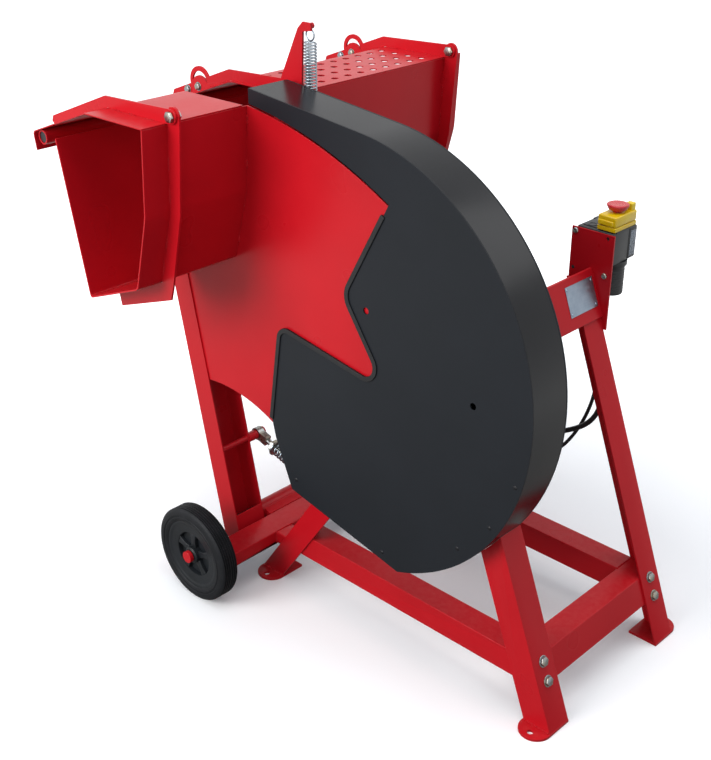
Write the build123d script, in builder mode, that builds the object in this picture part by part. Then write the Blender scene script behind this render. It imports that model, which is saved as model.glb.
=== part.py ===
from build123d import *
import math
import os

# Firewood saw with a tilting cradle. Millimetres, +Z up, -Y towards the viewer, -X towards the operator.
# The origin is the middle of the foot bolt pattern on the floor.

# Base frame
foot_half_x = 364.0
foot_half_y = 195.0
lean_right = 0.376
lean_left = 0.688
leg_web = 54.0
leg_flange = 56.0
leg_sheet = 4.0
foot_thickness = 5.0
foot_width = 60.0
foot_hole_x = 333.0
foot_hole_y = 212.0
foot_hole_diameter = 11.0
beam_low = 80.0
beam_high = 130.0
beam_width = 50.0
beam_wall = 3.0
side_beam_width = 48.0
back_leg_top = 652.0
weld_gap = 0.3

# Axle beam and wheels
axle_x = -385.0
axle_z = 98.6
axle_radius = 8.0
axle_beam_left = -384.0
axle_beam_right = -326.0
axle_beam_low = 68.0
axle_beam_high = 98.0
axle_beam_half = 300.0
axle_beam_wall = 4.0
end_plate = 5.0
wheel_radius = 98.0
wheel_width = 42.0
wheel_room = 22.0
wheel_inner_y = axle_beam_half + wheel_room
tyre_inner_radius = 72.0
hub_rim_radius = 46.0
hub_boss_radius = 18.0
spoke_width = 11.0
axle_cap_radius = 12.0
running_fit = 0.05
side_play = 0.5

# Cradle pivot
pivot_x = -417.0
pivot_z = 94.0
pivot_radius = 12.5
pivot_tube_radius = 17.0
pivot_tube_half = 155.0
swing = 20.0

# Guard
guard_front = -231.0
guard_back = -141.0
guard_sheet = 2.0
guard_back_sheet = 4.0
guard_x = -94.0
guard_z = 579.0
guard_radius = 400.0
guard_arm_end = -312.0
guard_arm_depth = 26.2
arm_clearance = 5.55
trim_width = 9.0
trim_front = 2.5

# Drive
drive_x = -52.6
drive_z = 618.5
shaft_radius = 15.0
blade_radius = 300.0
blade_y = -190.0
blade_thickness = 3.2
tooth_count = 48
tooth_depth = 9.0
flange_radius = 48.0
flange_thickness = 10.0
motor_front = -118.0
motor_back = 130.0
motor_radius = 80.0
motor_wall = 6.0
fin_height = 6.0
motor_plate_thickness = 4.0
motor_height = 90.0

# Cradle
trough_sheet = 3.0
trough_front = -448.0
trough_slot_front = -228.0
trough_slot_back = -160.0
trough_back = 333.0
side_plate = 3.0
side_plate_inner = 318.0
post_x = -395.0
post_z = 98.0
post_lean = 0.214
post_width = 49.0
post_depth = 71.0
post_wall = 3.0
post_foot = 60.0
post_open = 120.0
plate_entry = 431.0
rib_sheet = 4.0
rib_gap = 0.3
front_rib = -396.7
middle_rib = -125.7
back_rib = 284.3
hinge_x = -304.0
hinge_z = 989.0
ear_radius = 15.0

# Hold-down cover
cover_sheet = 2.0
cover_front = -448.0
cover_slot_front = -237.0
cover_slot_back = -133.0
cover_back = 333.0
arm_sheet = 4.0
hole_radius = 7.0
handle_radius = 13.0
spring_x = -272.0
lever_length = 113.0

# Return spring rod
clevis_x = -437.0
clevis_z = 260.0
guide_z = 200.0
rod_y = -130.0
rod_radius = 6.0
guide_hole_radius = 9.5
clevis_pin_radius = 6.0
eye_half = 7.0

# Switch
switch_y = 195.0
switch_plate_sheet = 3.0
switch_left = 72.0
switch_right = 152.0
switch_low = 690.0
switch_high = 752.0
switch_depth = 74.0
flap_low = 760.3
flap_high = 780.0
stop_x = 131.0
stop_y = 233.0
stop_radius = 20.0
stop_stem_radius = 8.0
stop_travel = 4.0
stop_cap = 10.5

# Leads: radius, start under the switch box, and place on the terminal box as its height and its Y
thin_radius = 3.5
thin_start = (92.0, 234.0)
thin_entry = (18.0, 10.0)
thick_radius = 5.0
thick_start = (86.0, 212.0)
thick_entry = (-14.0, -24.0)
gland_nut = 6.0
gland_length = 16.0
gland_wall = 2.6
gland_clearance = 0.3

pieces = {}


def xz(y):
    return Plane.XZ.offset(-y)


def prism(points, y0, y1, mode=Mode.ADD):
    with BuildSketch(xz(y1)) as outline:
        with BuildLine():
            Polyline(*points, close=True)
        make_face()
    extrude(outline.sketch, amount=y1 - y0, dir=(0, -1, 0), mode=mode)


def disc(x, z, radius, y0, y1, mode=Mode.ADD):
    with BuildSketch(xz(y1)) as outline:
        with Locations((x, z)):
            Circle(radius)
    extrude(outline.sketch, amount=y1 - y0, dir=(0, -1, 0), mode=mode)


def hexagon(x, z, radius, y0, y1, mode=Mode.ADD):
    with BuildSketch(xz(y1)) as outline:
        with Locations((x, z)):
            RegularPolygon(radius, 6)
    extrude(outline.sketch, amount=y1 - y0, dir=(0, -1, 0), mode=mode)


def block(x0, x1, y0, y1, z0, z1, mode=Mode.ADD):
    prism([(x0, z0), (x1, z0), (x1, z1), (x0, z1)], y0, y1, mode)


def offset_path(points, distance):
    # Mitred copy of an open path, to the left of its direction.
    moved = []
    for i in range(len(points)):
        normals = []
        for a, b in ((i - 1, i), (i, i + 1)):
            if a >= 0 and b < len(points):
                run_x = points[b][0] - points[a][0]
                run_z = points[b][1] - points[a][1]
                length = math.hypot(run_x, run_z)
                normals.append((-run_z / length, run_x / length))
        nx = sum(n[0] for n in normals) / len(normals)
        nz = sum(n[1] for n in normals) / len(normals)
        scale = distance / (nx * nx + nz * nz)
        moved.append((points[i][0] + nx * scale, points[i][1] + nz * scale))
    return moved


def strip(path, thickness):
    return path + offset_path(path, thickness)[::-1]


def polar(radius, degrees):
    angle = math.radians(degrees)
    return (pivot_x + radius * math.cos(angle), pivot_z + radius * math.sin(angle))


def right_web(z):
    return foot_half_x - lean_right * z


def left_web(z):
    return -foot_half_x + lean_left * z


def post_face(z):
    return post_x - post_lean * (z - post_z)


# Trough section, and the radius about the pivot that its top edge and the side plates swing on
trough_path = [
    (post_face(912.0), 912.0),
    (post_face(634.0), 634.0),
    (-365.0, 690.0),
    (-328.0, 825.0),
    (-319.0, 973.0),
]
plate_rim = math.hypot(trough_path[4][0] - pivot_x, trough_path[4][1] - pivot_z)

# Guard outline, from the arm's tip round the rim to the notch and back
guard_arm_radius = plate_rim + arm_clearance
rim_tangent = (-49.0, guard_z + math.sqrt(guard_radius**2 - (-49.0 - guard_x) ** 2))
rim_right = (guard_x + guard_radius, guard_z)
rim_low = (39.0, guard_z - math.sqrt(guard_radius**2 - (39.0 - guard_x) ** 2))
chute = [(-230.0, 259.0), (-271.0, 356.0), (-280.0, 393.0)]
notch = [(-250.0, 589.0), (11.0, 549.0), (-90.0, 697.0)]
notch_radii = [22.0, 26.0, 36.0]
notch_top_x = 8.0
notch_top = (notch_top_x, pivot_z + math.sqrt(guard_arm_radius**2 - (notch_top_x - pivot_x) ** 2))
arm_low = (guard_arm_end, pivot_z + math.sqrt(guard_arm_radius**2 - (guard_arm_end - pivot_x) ** 2))
guard_arm_top = arm_low[1] + guard_arm_depth
arm_high = (guard_arm_end, guard_arm_top)
arm_middle_x = (guard_arm_end + notch_top_x) / 2
arm_middle = (arm_middle_x, pivot_z + math.sqrt(guard_arm_radius**2 - (arm_middle_x - pivot_x) ** 2))


def guard_face(y):
    with BuildSketch(xz(y)) as outline:
        with BuildLine():
            Line(arm_high, rim_tangent)
            ThreePointArc(rim_tangent, rim_right, rim_low)
            Polyline(rim_low, *chute)
            FilletPolyline(chute[-1], *notch, notch_top, radius=notch_radii)
            ThreePointArc(notch_top, arm_middle, arm_low)
            Line(arm_low, arm_high)
        make_face()
    return outline.sketch


# Legs: bent L sections standing on foot plates
def make_leg(sx, sy, lean, top):
    base_x = sx * (foot_half_x - lean * foot_thickness)
    base_y = sy * foot_half_y
    slope = math.sqrt(1 + lean**2)
    with BuildPart() as leg:
        with BuildSketch(Plane.XY.offset(foot_thickness)) as section:
            with BuildLine():
                Polyline(
                    (base_x, base_y),
                    (base_x, base_y - sy * leg_web),
                    (base_x - sx * leg_sheet, base_y - sy * leg_web),
                    (base_x - sx * leg_sheet, base_y - sy * leg_sheet),
                    (base_x - sx * leg_flange, base_y - sy * leg_sheet),
                    (base_x - sx * leg_flange, base_y),
                    close=True,
                )
            make_face()
        extrude(section.sketch, amount=(top - foot_thickness) * slope, dir=(-sx * lean, 0, 1))
        with BuildSketch(Plane.XY) as foot:
            round_y = foot_hole_y + foot_width / 4 - foot_width / 2
            inner_y = foot_half_y - leg_web
            with Locations((sx * foot_hole_x, sy * (round_y + inner_y) / 2)):
                Rectangle(foot_width, round_y - inner_y)
            with Locations((sx * foot_hole_x, sy * round_y)):
                Circle(foot_width / 2)
            with Locations((sx * foot_hole_x, sy * foot_hole_y)):
                Circle(foot_hole_diameter / 2, mode=Mode.SUBTRACT)
        extrude(foot.sketch, amount=foot_thickness, dir=(0, 0, 1))
    return leg.part


def web_bolt(y, z):
    # Hexagon head lying on a right web's outer face.
    seat = Plane(origin=(right_web(z), y, z), x_dir=(0, 1, 0), z_dir=(1, 0, lean_right))
    with BuildSketch(seat) as head:
        RegularPolygon(9.0, 6)
    extrude(head.sketch, amount=6.0, dir=(1, 0, lean_right))


guide_x = left_web(guide_z) - leg_sheet / 2
rod_reach = math.hypot(guide_x - clevis_x, guide_z - clevis_z)
rod_dir = Vector((guide_x - clevis_x) / rod_reach, 0, (guide_z - clevis_z) / rod_reach)
rod_side = Vector(0, 1, 0)


def rod_plane(distance):
    place = Vector(clevis_x, rod_y, clevis_z) + rod_dir * distance
    return Plane(origin=place, x_dir=rod_side, z_dir=rod_dir)


guard_room = 0.3
front_right = make_leg(1, -1, lean_right, 420.0)
front_left = make_leg(-1, -1, lean_left, 300.0)
with BuildPart() as leg_front_right:
    add(front_right)
    with BuildSketch(xz(guard_back + 1.0)) as rim_cut:
        with Locations((guard_x, guard_z)):
            Circle(guard_radius + guard_room)
    extrude(rim_cut.sketch, amount=120.0, dir=(0, -1, 0), mode=Mode.SUBTRACT)
pieces["leg_front_right"] = leg_front_right

chute_run = (chute[0][0] - rim_low[0], chute[0][1] - rim_low[1])
chute_slope = chute_run[1] / chute_run[0]
chute_drop = guard_room * math.sqrt(1 + chute_slope**2)
with BuildPart() as leg_front_left:
    add(front_left)
    prism(
        [
            (chute[0][0] - 60.0, chute[0][1] - 60.0 * chute_slope - chute_drop),
            (rim_low[0], rim_low[1] - chute_drop),
            (rim_low[0], 500.0),
            (chute[0][0] - 60.0, 500.0),
        ],
        -260.0,
        guard_back + 1.0,
        Mode.SUBTRACT,
    )
    low = guide_z - 26.0
    high = guide_z + 26.0
    prism(
        [
            (left_web(low) - leg_sheet, low),
            (left_web(low), low),
            (left_web(high), high),
            (left_web(high) - leg_sheet, high),
        ],
        -foot_half_y + 8.0,
        rod_y + 22.0,
    )
    with BuildSketch(rod_plane(rod_reach - 30.0)) as guide_hole:
        Circle(guide_hole_radius)
    extrude(guide_hole.sketch, amount=60.0, dir=rod_dir, mode=Mode.SUBTRACT)
pieces["leg_front_left"] = leg_front_left

with BuildPart() as leg_back_right:
    add(make_leg(1, 1, lean_right, back_leg_top))
pieces["leg_back_right"] = leg_back_right

with BuildPart() as leg_back_left:
    add(make_leg(-1, 1, lean_left, back_leg_top))
    prism(
        [
            (right_web(450.0) - leg_flange - weld_gap, 450.0),
            (600.0, 450.0),
            (600.0, 760.0),
            (right_web(760.0) - leg_flange - weld_gap, 760.0),
        ],
        100.0,
        250.0,
        Mode.SUBTRACT,
    )
pieces["leg_back_left"] = leg_back_left

# Cross beams: square tubes between the webs
side_out = right_web(0) - leg_sheet
side_in = side_out - side_beam_width
inner_y = foot_half_y - leg_sheet


def side_section(wall):
    low = beam_low + wall
    high = beam_high - wall
    return [
        (side_in - lean_right * low + wall, low),
        (side_out - lean_right * low - wall, low),
        (side_out - lean_right * high - wall, high),
        (side_in - lean_right * high + wall, high),
    ]


with BuildPart() as cross_beams:
    for y0, y1 in ((-inner_y, -inner_y + beam_width), (inner_y - beam_width, inner_y)):
        prism(
            [
                (left_web(beam_low) + leg_sheet, beam_low),
                (side_in - lean_right * beam_low, beam_low),
                (side_in - lean_right * beam_high, beam_high),
                (left_web(beam_high) + leg_sheet, beam_high),
            ],
            y0,
            y1,
        )
        low = beam_low + beam_wall
        high = beam_high - beam_wall
        block(-400.0, 400.0, y0 + beam_wall, y1 - beam_wall, low, high, Mode.SUBTRACT)
    prism(side_section(0.0), -inner_y, inner_y)
    prism(side_section(beam_wall), -inner_y, inner_y, Mode.SUBTRACT)
pieces["cross_beams"] = cross_beams


web_middle = foot_half_y - leg_web / 2
with BuildPart() as web_bolts:
    for bolt_y in (-web_middle, web_middle):
        for bolt_z in (beam_low + 8.0, beam_high - 7.0):
            web_bolt(bolt_y, bolt_z)
pieces["web_bolts"] = web_bolts

# Top rail: an angle on the outside of the right webs, behind the guard, with its flange below
rail_low = 595.0
rail_high = 680.0
rail_sheet = 5.0
rail_depth = 32.0
rail_end = foot_half_y - leg_web - 4.0
with BuildPart() as top_rail:
    face = [(right_web(rail_low), rail_low), (right_web(rail_high), rail_high)]
    outer = [(face[0][0] + rail_sheet, rail_low), (face[1][0] + rail_sheet, rail_high)]
    prism([face[0], outer[0], outer[1], face[1]], guard_back, foot_half_y)
    x_low = right_web(rail_low)
    x_high = right_web(rail_low + rail_sheet)
    prism(
        [
            (x_low - rail_depth, rail_low),
            (x_low, rail_low),
            (x_high, rail_low + rail_sheet),
            (x_low - rail_depth, rail_low + rail_sheet),
        ],
        guard_back,
        rail_end,
    )
pieces["top_rail"] = top_rail

plate_sheet = 1.0
plate_low = 616.0
plate_high = 668.0
with BuildPart() as rating_plate:
    out = rail_sheet
    prism(
        [
            (right_web(plate_low) + out, plate_low),
            (right_web(plate_low) + out + plate_sheet, plate_low),
            (right_web(plate_high) + out + plate_sheet, plate_high),
            (right_web(plate_high) + out, plate_high),
        ],
        106.0,
        188.0,
    )
pieces["rating_plate"] = rating_plate

# Axle beam: a channel open downwards with end plates, tied to the left webs by wedge brackets
plate_top_z = axle_z + 12.0
with BuildPart() as axle_beam:
    block(axle_beam_left, axle_beam_right, -axle_beam_half, axle_beam_half, axle_beam_low, axle_beam_high)
    inner_left = axle_beam_left + axle_beam_wall
    inner_right = axle_beam_right - axle_beam_wall
    roof = axle_beam_high - axle_beam_wall
    block(inner_left, inner_right, -axle_beam_half, axle_beam_half, axle_beam_low, roof, Mode.SUBTRACT)
    bracket_low = axle_beam_low + 4.0
    for sy in (-1, 1):
        y_pair = sorted((sy * (foot_half_y - 6.0), sy * (foot_half_y - leg_web + 6.0)))
        prism(
            [
                (axle_beam_right, bracket_low),
                (left_web(bracket_low), bracket_low),
                (left_web(axle_beam_high), axle_beam_high),
                (axle_beam_right, axle_beam_high),
            ],
            y_pair[0],
            y_pair[1],
        )
        plate_y = sorted((sy * axle_beam_half, sy * (axle_beam_half + end_plate)))
        block(axle_x - 18.0, axle_beam_right, plate_y[0], plate_y[1], axle_beam_low, plate_top_z)
pieces["axle_beam"] = axle_beam

wheel_outer_y = wheel_inner_y + wheel_width
with BuildPart() as wheel_axles:
    for sy in (-1, 1):
        stub_y = sorted((sy * (axle_beam_half + end_plate), sy * (wheel_outer_y + 6.0)))
        collar_y = sorted((sy * (axle_beam_half + end_plate), sy * (wheel_inner_y - side_play)))
        disc(axle_x, axle_z, axle_radius, stub_y[0], stub_y[1])
        disc(axle_x, axle_z, axle_radius + 5.0, collar_y[0], collar_y[1])
pieces["wheel_axles"] = wheel_axles

with BuildPart() as axle_caps:
    for sy in (-1, 1):
        cap_y = sorted((sy * (wheel_outer_y + side_play), sy * (wheel_outer_y + 9.0)))
        hole_y = sorted((sy * (wheel_outer_y + side_play), sy * (wheel_outer_y + 6.0)))
        disc(axle_x, axle_z, axle_cap_radius, cap_y[0], cap_y[1])
        disc(axle_x, axle_z, axle_radius, hole_y[0], hole_y[1], Mode.SUBTRACT)
pieces["axle_caps"] = axle_caps


# Wheels: grooved tyre on a five-spoke hub
def make_tyre(sy):
    y_pair = sorted((sy * wheel_inner_y, sy * wheel_outer_y))
    with BuildPart() as tyre:
        disc(axle_x, axle_z, wheel_radius, y_pair[0], y_pair[1])
        disc(axle_x, axle_z, tyre_inner_radius, y_pair[0], y_pair[1], Mode.SUBTRACT)
        chamfer(tyre.edges().filter_by(GeomType.CIRCLE).sort_by(SortBy.RADIUS)[-2:], length=4.0)
        middle = (y_pair[0] + y_pair[1]) / 2
        for groove in (-9.0, 9.0):
            with BuildSketch(xz(middle + groove + 1.5)) as ring:
                with Locations((axle_x, axle_z)):
                    Circle(wheel_radius + 1.0)
                    Circle(wheel_radius - 3.0, mode=Mode.SUBTRACT)
            extrude(ring.sketch, amount=3.0, dir=(0, -1, 0), mode=Mode.SUBTRACT)
    return tyre.part


def make_hub(sy):
    y_pair = sorted((sy * wheel_inner_y, sy * wheel_outer_y))
    middle = (y_pair[0] + y_pair[1]) / 2
    with BuildPart() as hub:
        disc(axle_x, axle_z, tyre_inner_radius, y_pair[0] + 4.0, y_pair[1] - 4.0)
        disc(axle_x, axle_z, hub_rim_radius, y_pair[0] + 4.0, y_pair[1] - 4.0, Mode.SUBTRACT)
        disc(axle_x, axle_z, hub_rim_radius + 2.0, middle - 4.0, middle + 4.0)
        with BuildSketch(xz(middle + 14.0)) as spokes:
            with Locations((axle_x, axle_z)):
                with PolarLocations(0, 5):
                    with Locations((hub_rim_radius / 2 + 1.0, 0)):
                        Rectangle(hub_rim_radius + 2.0, spoke_width)
        extrude(spokes.sketch, amount=28.0, dir=(0, -1, 0))
        disc(axle_x, axle_z, hub_boss_radius, y_pair[0], y_pair[1])
        disc(axle_x, axle_z, axle_radius + running_fit, y_pair[0], y_pair[1], Mode.SUBTRACT)
    return hub.part


with BuildPart() as tyre_front:
    add(make_tyre(-1))
pieces["tyre_front"] = tyre_front
with BuildPart() as hub_front:
    add(make_hub(-1))
pieces["hub_front"] = hub_front
with BuildPart() as tyre_back:
    add(make_tyre(1))
pieces["tyre_back"] = tyre_back
with BuildPart() as hub_back:
    add(make_hub(1))
pieces["hub_back"] = hub_back

# Pivot tube: the cradle's bearing, on a saddle welded along the axle beam
with BuildPart() as pivot_tube:
    disc(pivot_x, pivot_z, pivot_tube_radius, -pivot_tube_half, pivot_tube_half)
    prism(
        [
            (pivot_x, pivot_z - pivot_tube_radius + 2.0),
            (axle_beam_left, axle_beam_low + 4.0),
            (axle_beam_left, axle_beam_high - 1.0),
            (pivot_x, pivot_z + pivot_tube_radius - 4.0),
        ],
        -pivot_tube_half + 4.0,
        pivot_tube_half - 4.0,
    )
    bore = pivot_radius + running_fit
    disc(pivot_x, pivot_z, bore, -pivot_tube_half, pivot_tube_half, Mode.SUBTRACT)
pieces["pivot_tube"] = pivot_tube

# Guard
guard_inner = guard_front + guard_sheet
guard_wall = guard_back - guard_back_sheet
rivets = ((-14.8, 12.0), (-30.5, 17.0), (-44.8, 25.0), (-74.8, 34.0), (-112.7, 81.0))
fixings = []
for angle, inset in rivets:
    heading = math.radians(angle)
    reach = guard_radius - inset
    fixings.append((guard_x + reach * math.cos(heading), guard_z + reach * math.sin(heading)))
peep_holes = [(191.0, 590.0), (-40.0, 683.0)]

with BuildPart() as guard_front_plate:
    extrude(guard_face(guard_inner), amount=guard_sheet, dir=(0, -1, 0))
    for x, z in peep_holes:
        disc(x, z, 6.0, guard_front, guard_inner, Mode.SUBTRACT)
    for x, z in fixings:
        disc(x, z, 3.0, guard_front, guard_inner, Mode.SUBTRACT)
pieces["guard_front_plate"] = guard_front_plate

rim_half = guard_sheet / 2
rim_middle = guard_radius - rim_half
turn_x = rim_tangent[0]
low_x = rim_low[0]
middle_top = (turn_x, guard_z + math.sqrt(rim_middle**2 - (turn_x - guard_x) ** 2))
middle_low = (low_x, guard_z - math.sqrt(rim_middle**2 - (low_x - guard_x) ** 2))
rim_share = 0.25
rim_end = (
    chute[1][0] + (chute[2][0] - chute[1][0]) * rim_share,
    chute[1][1] + (chute[2][1] - chute[1][1]) * rim_share,
)
with BuildPart() as guard_rim:
    with BuildSketch(xz(guard_wall)) as band:
        with BuildLine():
            Line((guard_arm_end + rim_half, arm_low[1]), (guard_arm_end + rim_half, guard_arm_top - rim_half))
            Line((guard_arm_end + rim_half, guard_arm_top - rim_half), middle_top)
            ThreePointArc(middle_top, (guard_x + rim_middle, guard_z), middle_low)
            Line(middle_low, (chute[0][0] + rim_half, chute[0][1] + rim_half))
            Line((chute[0][0] + rim_half, chute[0][1] + rim_half), (chute[1][0] + rim_half, chute[1][1]))
            Line((chute[1][0] + rim_half, chute[1][1]), (rim_end[0] + rim_half, rim_end[1]))
        trace(line_width=guard_sheet)
    extrude(band.sketch, amount=guard_wall - guard_inner, dir=(0, -1, 0))
pieces["guard_rim"] = guard_rim

with BuildPart() as guard_back_plate:
    extrude(guard_face(guard_back), amount=guard_back_sheet, dir=(0, -1, 0))
    disc(drive_x, drive_z, shaft_radius + 12.0, guard_wall, guard_back, Mode.SUBTRACT)
pieces["guard_back_plate"] = guard_back_plate

with BuildPart() as guard_trim:
    with BuildSketch(xz(guard_inner)) as edge_band:
        with BuildLine():
            FilletPolyline(chute[-1], *notch, notch_top, radius=notch_radii)
        trace(line_width=trim_width)
    extrude(edge_band.sketch, amount=guard_sheet + trim_front, dir=(0, -1, 0))
    with BuildSketch(xz(guard_inner)) as arm_room:
        with Locations((pivot_x, pivot_z)):
            Circle(guard_arm_radius + 20.0)
            Circle(guard_arm_radius - 24.0, mode=Mode.SUBTRACT)
    extrude(arm_room.sketch, amount=20.0, dir=(0, -1, 0), mode=Mode.SUBTRACT)
    extrude(guard_face(guard_inner), amount=guard_sheet, dir=(0, -1, 0), mode=Mode.SUBTRACT)
pieces["guard_trim"] = guard_trim

with BuildPart() as panel_screws:
    for x, z in fixings:
        disc(x, z, 4.0, guard_front - 1.5, guard_front)
        disc(x, z, 2.9, guard_front, guard_inner + 6.0)
    for x, z in ((73.0, 741.0), (140.0, 671.0)):
        disc(x, z, 5.5, switch_y - 3.0, switch_y)
        disc(x, z, 3.5, switch_y, switch_y + switch_plate_sheet)
pieces["panel_screws"] = panel_screws

# Motor on an inclined plate along the left legs
leg_slope = math.sqrt(1 + lean_left**2)
along = (lean_left / leg_slope, 1 / leg_slope)
away = (-1 / leg_slope, lean_left / leg_slope)


def motor_point(run, rise):
    return (drive_x + along[0] * run + away[0] * rise, drive_z + along[1] * run + away[1] * rise)


plate_top = -motor_height
plate_bottom = plate_top - motor_plate_thickness
with BuildPart() as motor_plate:
    prism(
        [
            motor_point(-96.0, plate_bottom),
            motor_point(80.0, plate_bottom),
            motor_point(80.0, plate_top),
            motor_point(-96.0, plate_top),
        ],
        guard_back,
        foot_half_y,
    )
pieces["motor_plate"] = motor_plate

shield_depth = 23.0
housing_front = motor_front + shield_depth
housing_back = 75.0
bearing_radius = 31.0
with BuildPart() as motor_housing:
    disc(drive_x, drive_z, motor_radius, housing_front, housing_back)
    with BuildSketch(xz(housing_back - 8.0)) as fins:
        with Locations((drive_x, drive_z)):
            with PolarLocations(0, 24):
                with Locations((motor_radius, 0)):
                    Rectangle(2 * fin_height, 3.0)
    extrude(fins.sketch, amount=housing_back - housing_front - 16.0, dir=(0, -1, 0))
    for run in (-62.0, 34.0):
        prism(
            [
                motor_point(run, plate_top),
                motor_point(run + 28.0, plate_top),
                motor_point(run + 28.0, -motor_radius + 30.0),
                motor_point(run, -motor_radius + 30.0),
            ],
            housing_front + 20.0,
            housing_back - 20.0,
        )
    disc(drive_x, drive_z, motor_radius - motor_wall, housing_front, housing_back, Mode.SUBTRACT)
pieces["motor_housing"] = motor_housing

back_shield = housing_back + 14.0
with BuildPart() as motor_shields:
    disc(drive_x, drive_z, motor_radius, motor_front, housing_front)
    disc(drive_x, drive_z, bearing_radius, motor_front + 5.0, housing_front, Mode.SUBTRACT)
    disc(drive_x, drive_z, shaft_radius + 2.0, motor_front, motor_front + 5.0, Mode.SUBTRACT)
    disc(drive_x, drive_z, motor_radius, housing_back, back_shield)
    disc(drive_x, drive_z, bearing_radius, housing_back, back_shield, Mode.SUBTRACT)
pieces["motor_shields"] = motor_shields

with BuildPart() as motor_bearings:
    for y0 in (motor_front + 5.0, housing_back):
        disc(drive_x, drive_z, bearing_radius, y0, y0 + 14.0)
        disc(drive_x, drive_z, shaft_radius + running_fit, y0, y0 + 14.0, Mode.SUBTRACT)
pieces["motor_bearings"] = motor_bearings

core_front = -70.0
core_back = 50.0
rotor_radius = 57.0
with BuildPart() as motor_stator:
    disc(drive_x, drive_z, motor_radius - motor_wall, core_front, core_back)
    disc(drive_x, drive_z, rotor_radius + 1.0, core_front, core_back, Mode.SUBTRACT)
pieces["motor_stator"] = motor_stator

with BuildPart() as motor_fan_cover:
    disc(drive_x, drive_z, motor_radius + 2.5, housing_back, motor_back)
    disc(drive_x, drive_z, motor_radius, housing_back, motor_back - 2.5, Mode.SUBTRACT)
    with BuildSketch(xz(motor_back)) as vents:
        with Locations((drive_x, drive_z)):
            with PolarLocations(32.0, 8):
                Circle(7.0)
            with PolarLocations(56.0, 14):
                Circle(7.0)
    extrude(vents.sketch, amount=2.5, dir=(0, -1, 0), mode=Mode.SUBTRACT)
pieces["motor_fan_cover"] = motor_fan_cover


def gland(seat, outward, lead_radius):
    # A hexagon nut and a round dome on a box's face, bored for the lead.
    base = Plane(origin=seat, z_dir=outward)
    with BuildPart() as made:
        with BuildSketch(base):
            RegularPolygon(lead_radius + gland_wall + 3.0, 6)
        extrude(amount=gland_nut)
        with BuildSketch(base):
            Circle(lead_radius + gland_wall)
        extrude(amount=gland_length)
        with BuildSketch(base):
            Circle(lead_radius + gland_clearance)
        extrude(amount=gland_length, mode=Mode.SUBTRACT)
    return made.part


box_near = -motor_radius - fin_height
box_far = box_near - 36.0
with BuildPart() as terminal_box:
    prism(
        [
            motor_point(box_near, -36.0),
            motor_point(box_near, 36.0),
            motor_point(box_far, 36.0),
            motor_point(box_far, -36.0),
        ],
        -60.0,
        40.0,
    )
    prism(
        [
            motor_point(box_near + 14.0, -24.0),
            motor_point(box_near + 14.0, 24.0),
            motor_point(box_near, 24.0),
            motor_point(box_near, -24.0),
        ],
        -50.0,
        30.0,
    )
    disc(drive_x, drive_z, motor_radius, -60.0, 40.0, Mode.SUBTRACT)
    with BuildSketch(xz(housing_back - 8.0)) as fin_room:
        with Locations((drive_x, drive_z)):
            with PolarLocations(0, 24):
                with Locations((motor_radius, 0)):
                    Rectangle(2 * fin_height, 3.4)
    extrude(fin_room.sketch, amount=housing_back - housing_front - 16.0, dir=(0, -1, 0), mode=Mode.SUBTRACT)
    for (rise, y), radius in ((thin_entry, thin_radius), (thick_entry, thick_radius)):
        x, z = motor_point(box_far, rise)
        add(gland((x, y, z), (-along[0], 0, -along[1]), radius))
pieces["terminal_box"] = terminal_box

# Arbor and blade
collar_back = -176.0
blade_front = blade_y - blade_thickness / 2
blade_back = blade_y + blade_thickness / 2
flange_front = blade_front - flange_thickness
arbor_radius = 12.0
shaft_tip = -222.0
with BuildPart() as motor_shaft:
    disc(drive_x, drive_z, shaft_radius, flange_front, 112.0)
    disc(drive_x, drive_z, arbor_radius, shaft_tip, flange_front)
    disc(drive_x, drive_z, flange_radius, blade_back, collar_back)
    disc(drive_x, drive_z, rotor_radius, core_front, core_back)
pieces["motor_shaft"] = motor_shaft

with BuildPart() as motor_fan:
    disc(drive_x, drive_z, 64.0, 94.0, 97.0)
    disc(drive_x, drive_z, 24.0, 94.0, 110.0)
    with BuildSketch(xz(110.0)) as vanes:
        with Locations((drive_x, drive_z)):
            with PolarLocations(0, 7):
                with Locations((42.0, 0)):
                    Rectangle(42.0, 3.0)
    extrude(vanes.sketch, amount=14.0, dir=(0, -1, 0))
    disc(drive_x, drive_z, shaft_radius, 94.0, 110.0, Mode.SUBTRACT)
pieces["motor_fan"] = motor_fan

with BuildPart() as saw_blade:
    teeth = []
    for i in range(tooth_count):
        start = 2 * math.pi * i / tooth_count
        step = 2 * math.pi / tooth_count
        for share, depth in ((0.0, 0.0), (0.06, tooth_depth), (0.4, tooth_depth), (0.9, 1.5)):
            reach = blade_radius - depth
            turn = start + share * step
            teeth.append((drive_x + reach * math.cos(turn), drive_z + reach * math.sin(turn)))
    prism(teeth, blade_front, blade_back)
    disc(drive_x, drive_z, shaft_radius, blade_front, blade_back, Mode.SUBTRACT)
pieces["saw_blade"] = saw_blade

with BuildPart() as outer_flange:
    disc(drive_x, drive_z, flange_radius, flange_front, blade_front)
    disc(drive_x, drive_z, shaft_radius, flange_front, blade_front, Mode.SUBTRACT)
pieces["outer_flange"] = outer_flange

with BuildPart() as arbor_nut:
    hexagon(drive_x, drive_z, 21.0, flange_front - 15.0, flange_front)
    disc(drive_x, drive_z, arbor_radius, flange_front - 15.0, flange_front, Mode.SUBTRACT)
pieces["arbor_nut"] = arbor_nut

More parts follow.
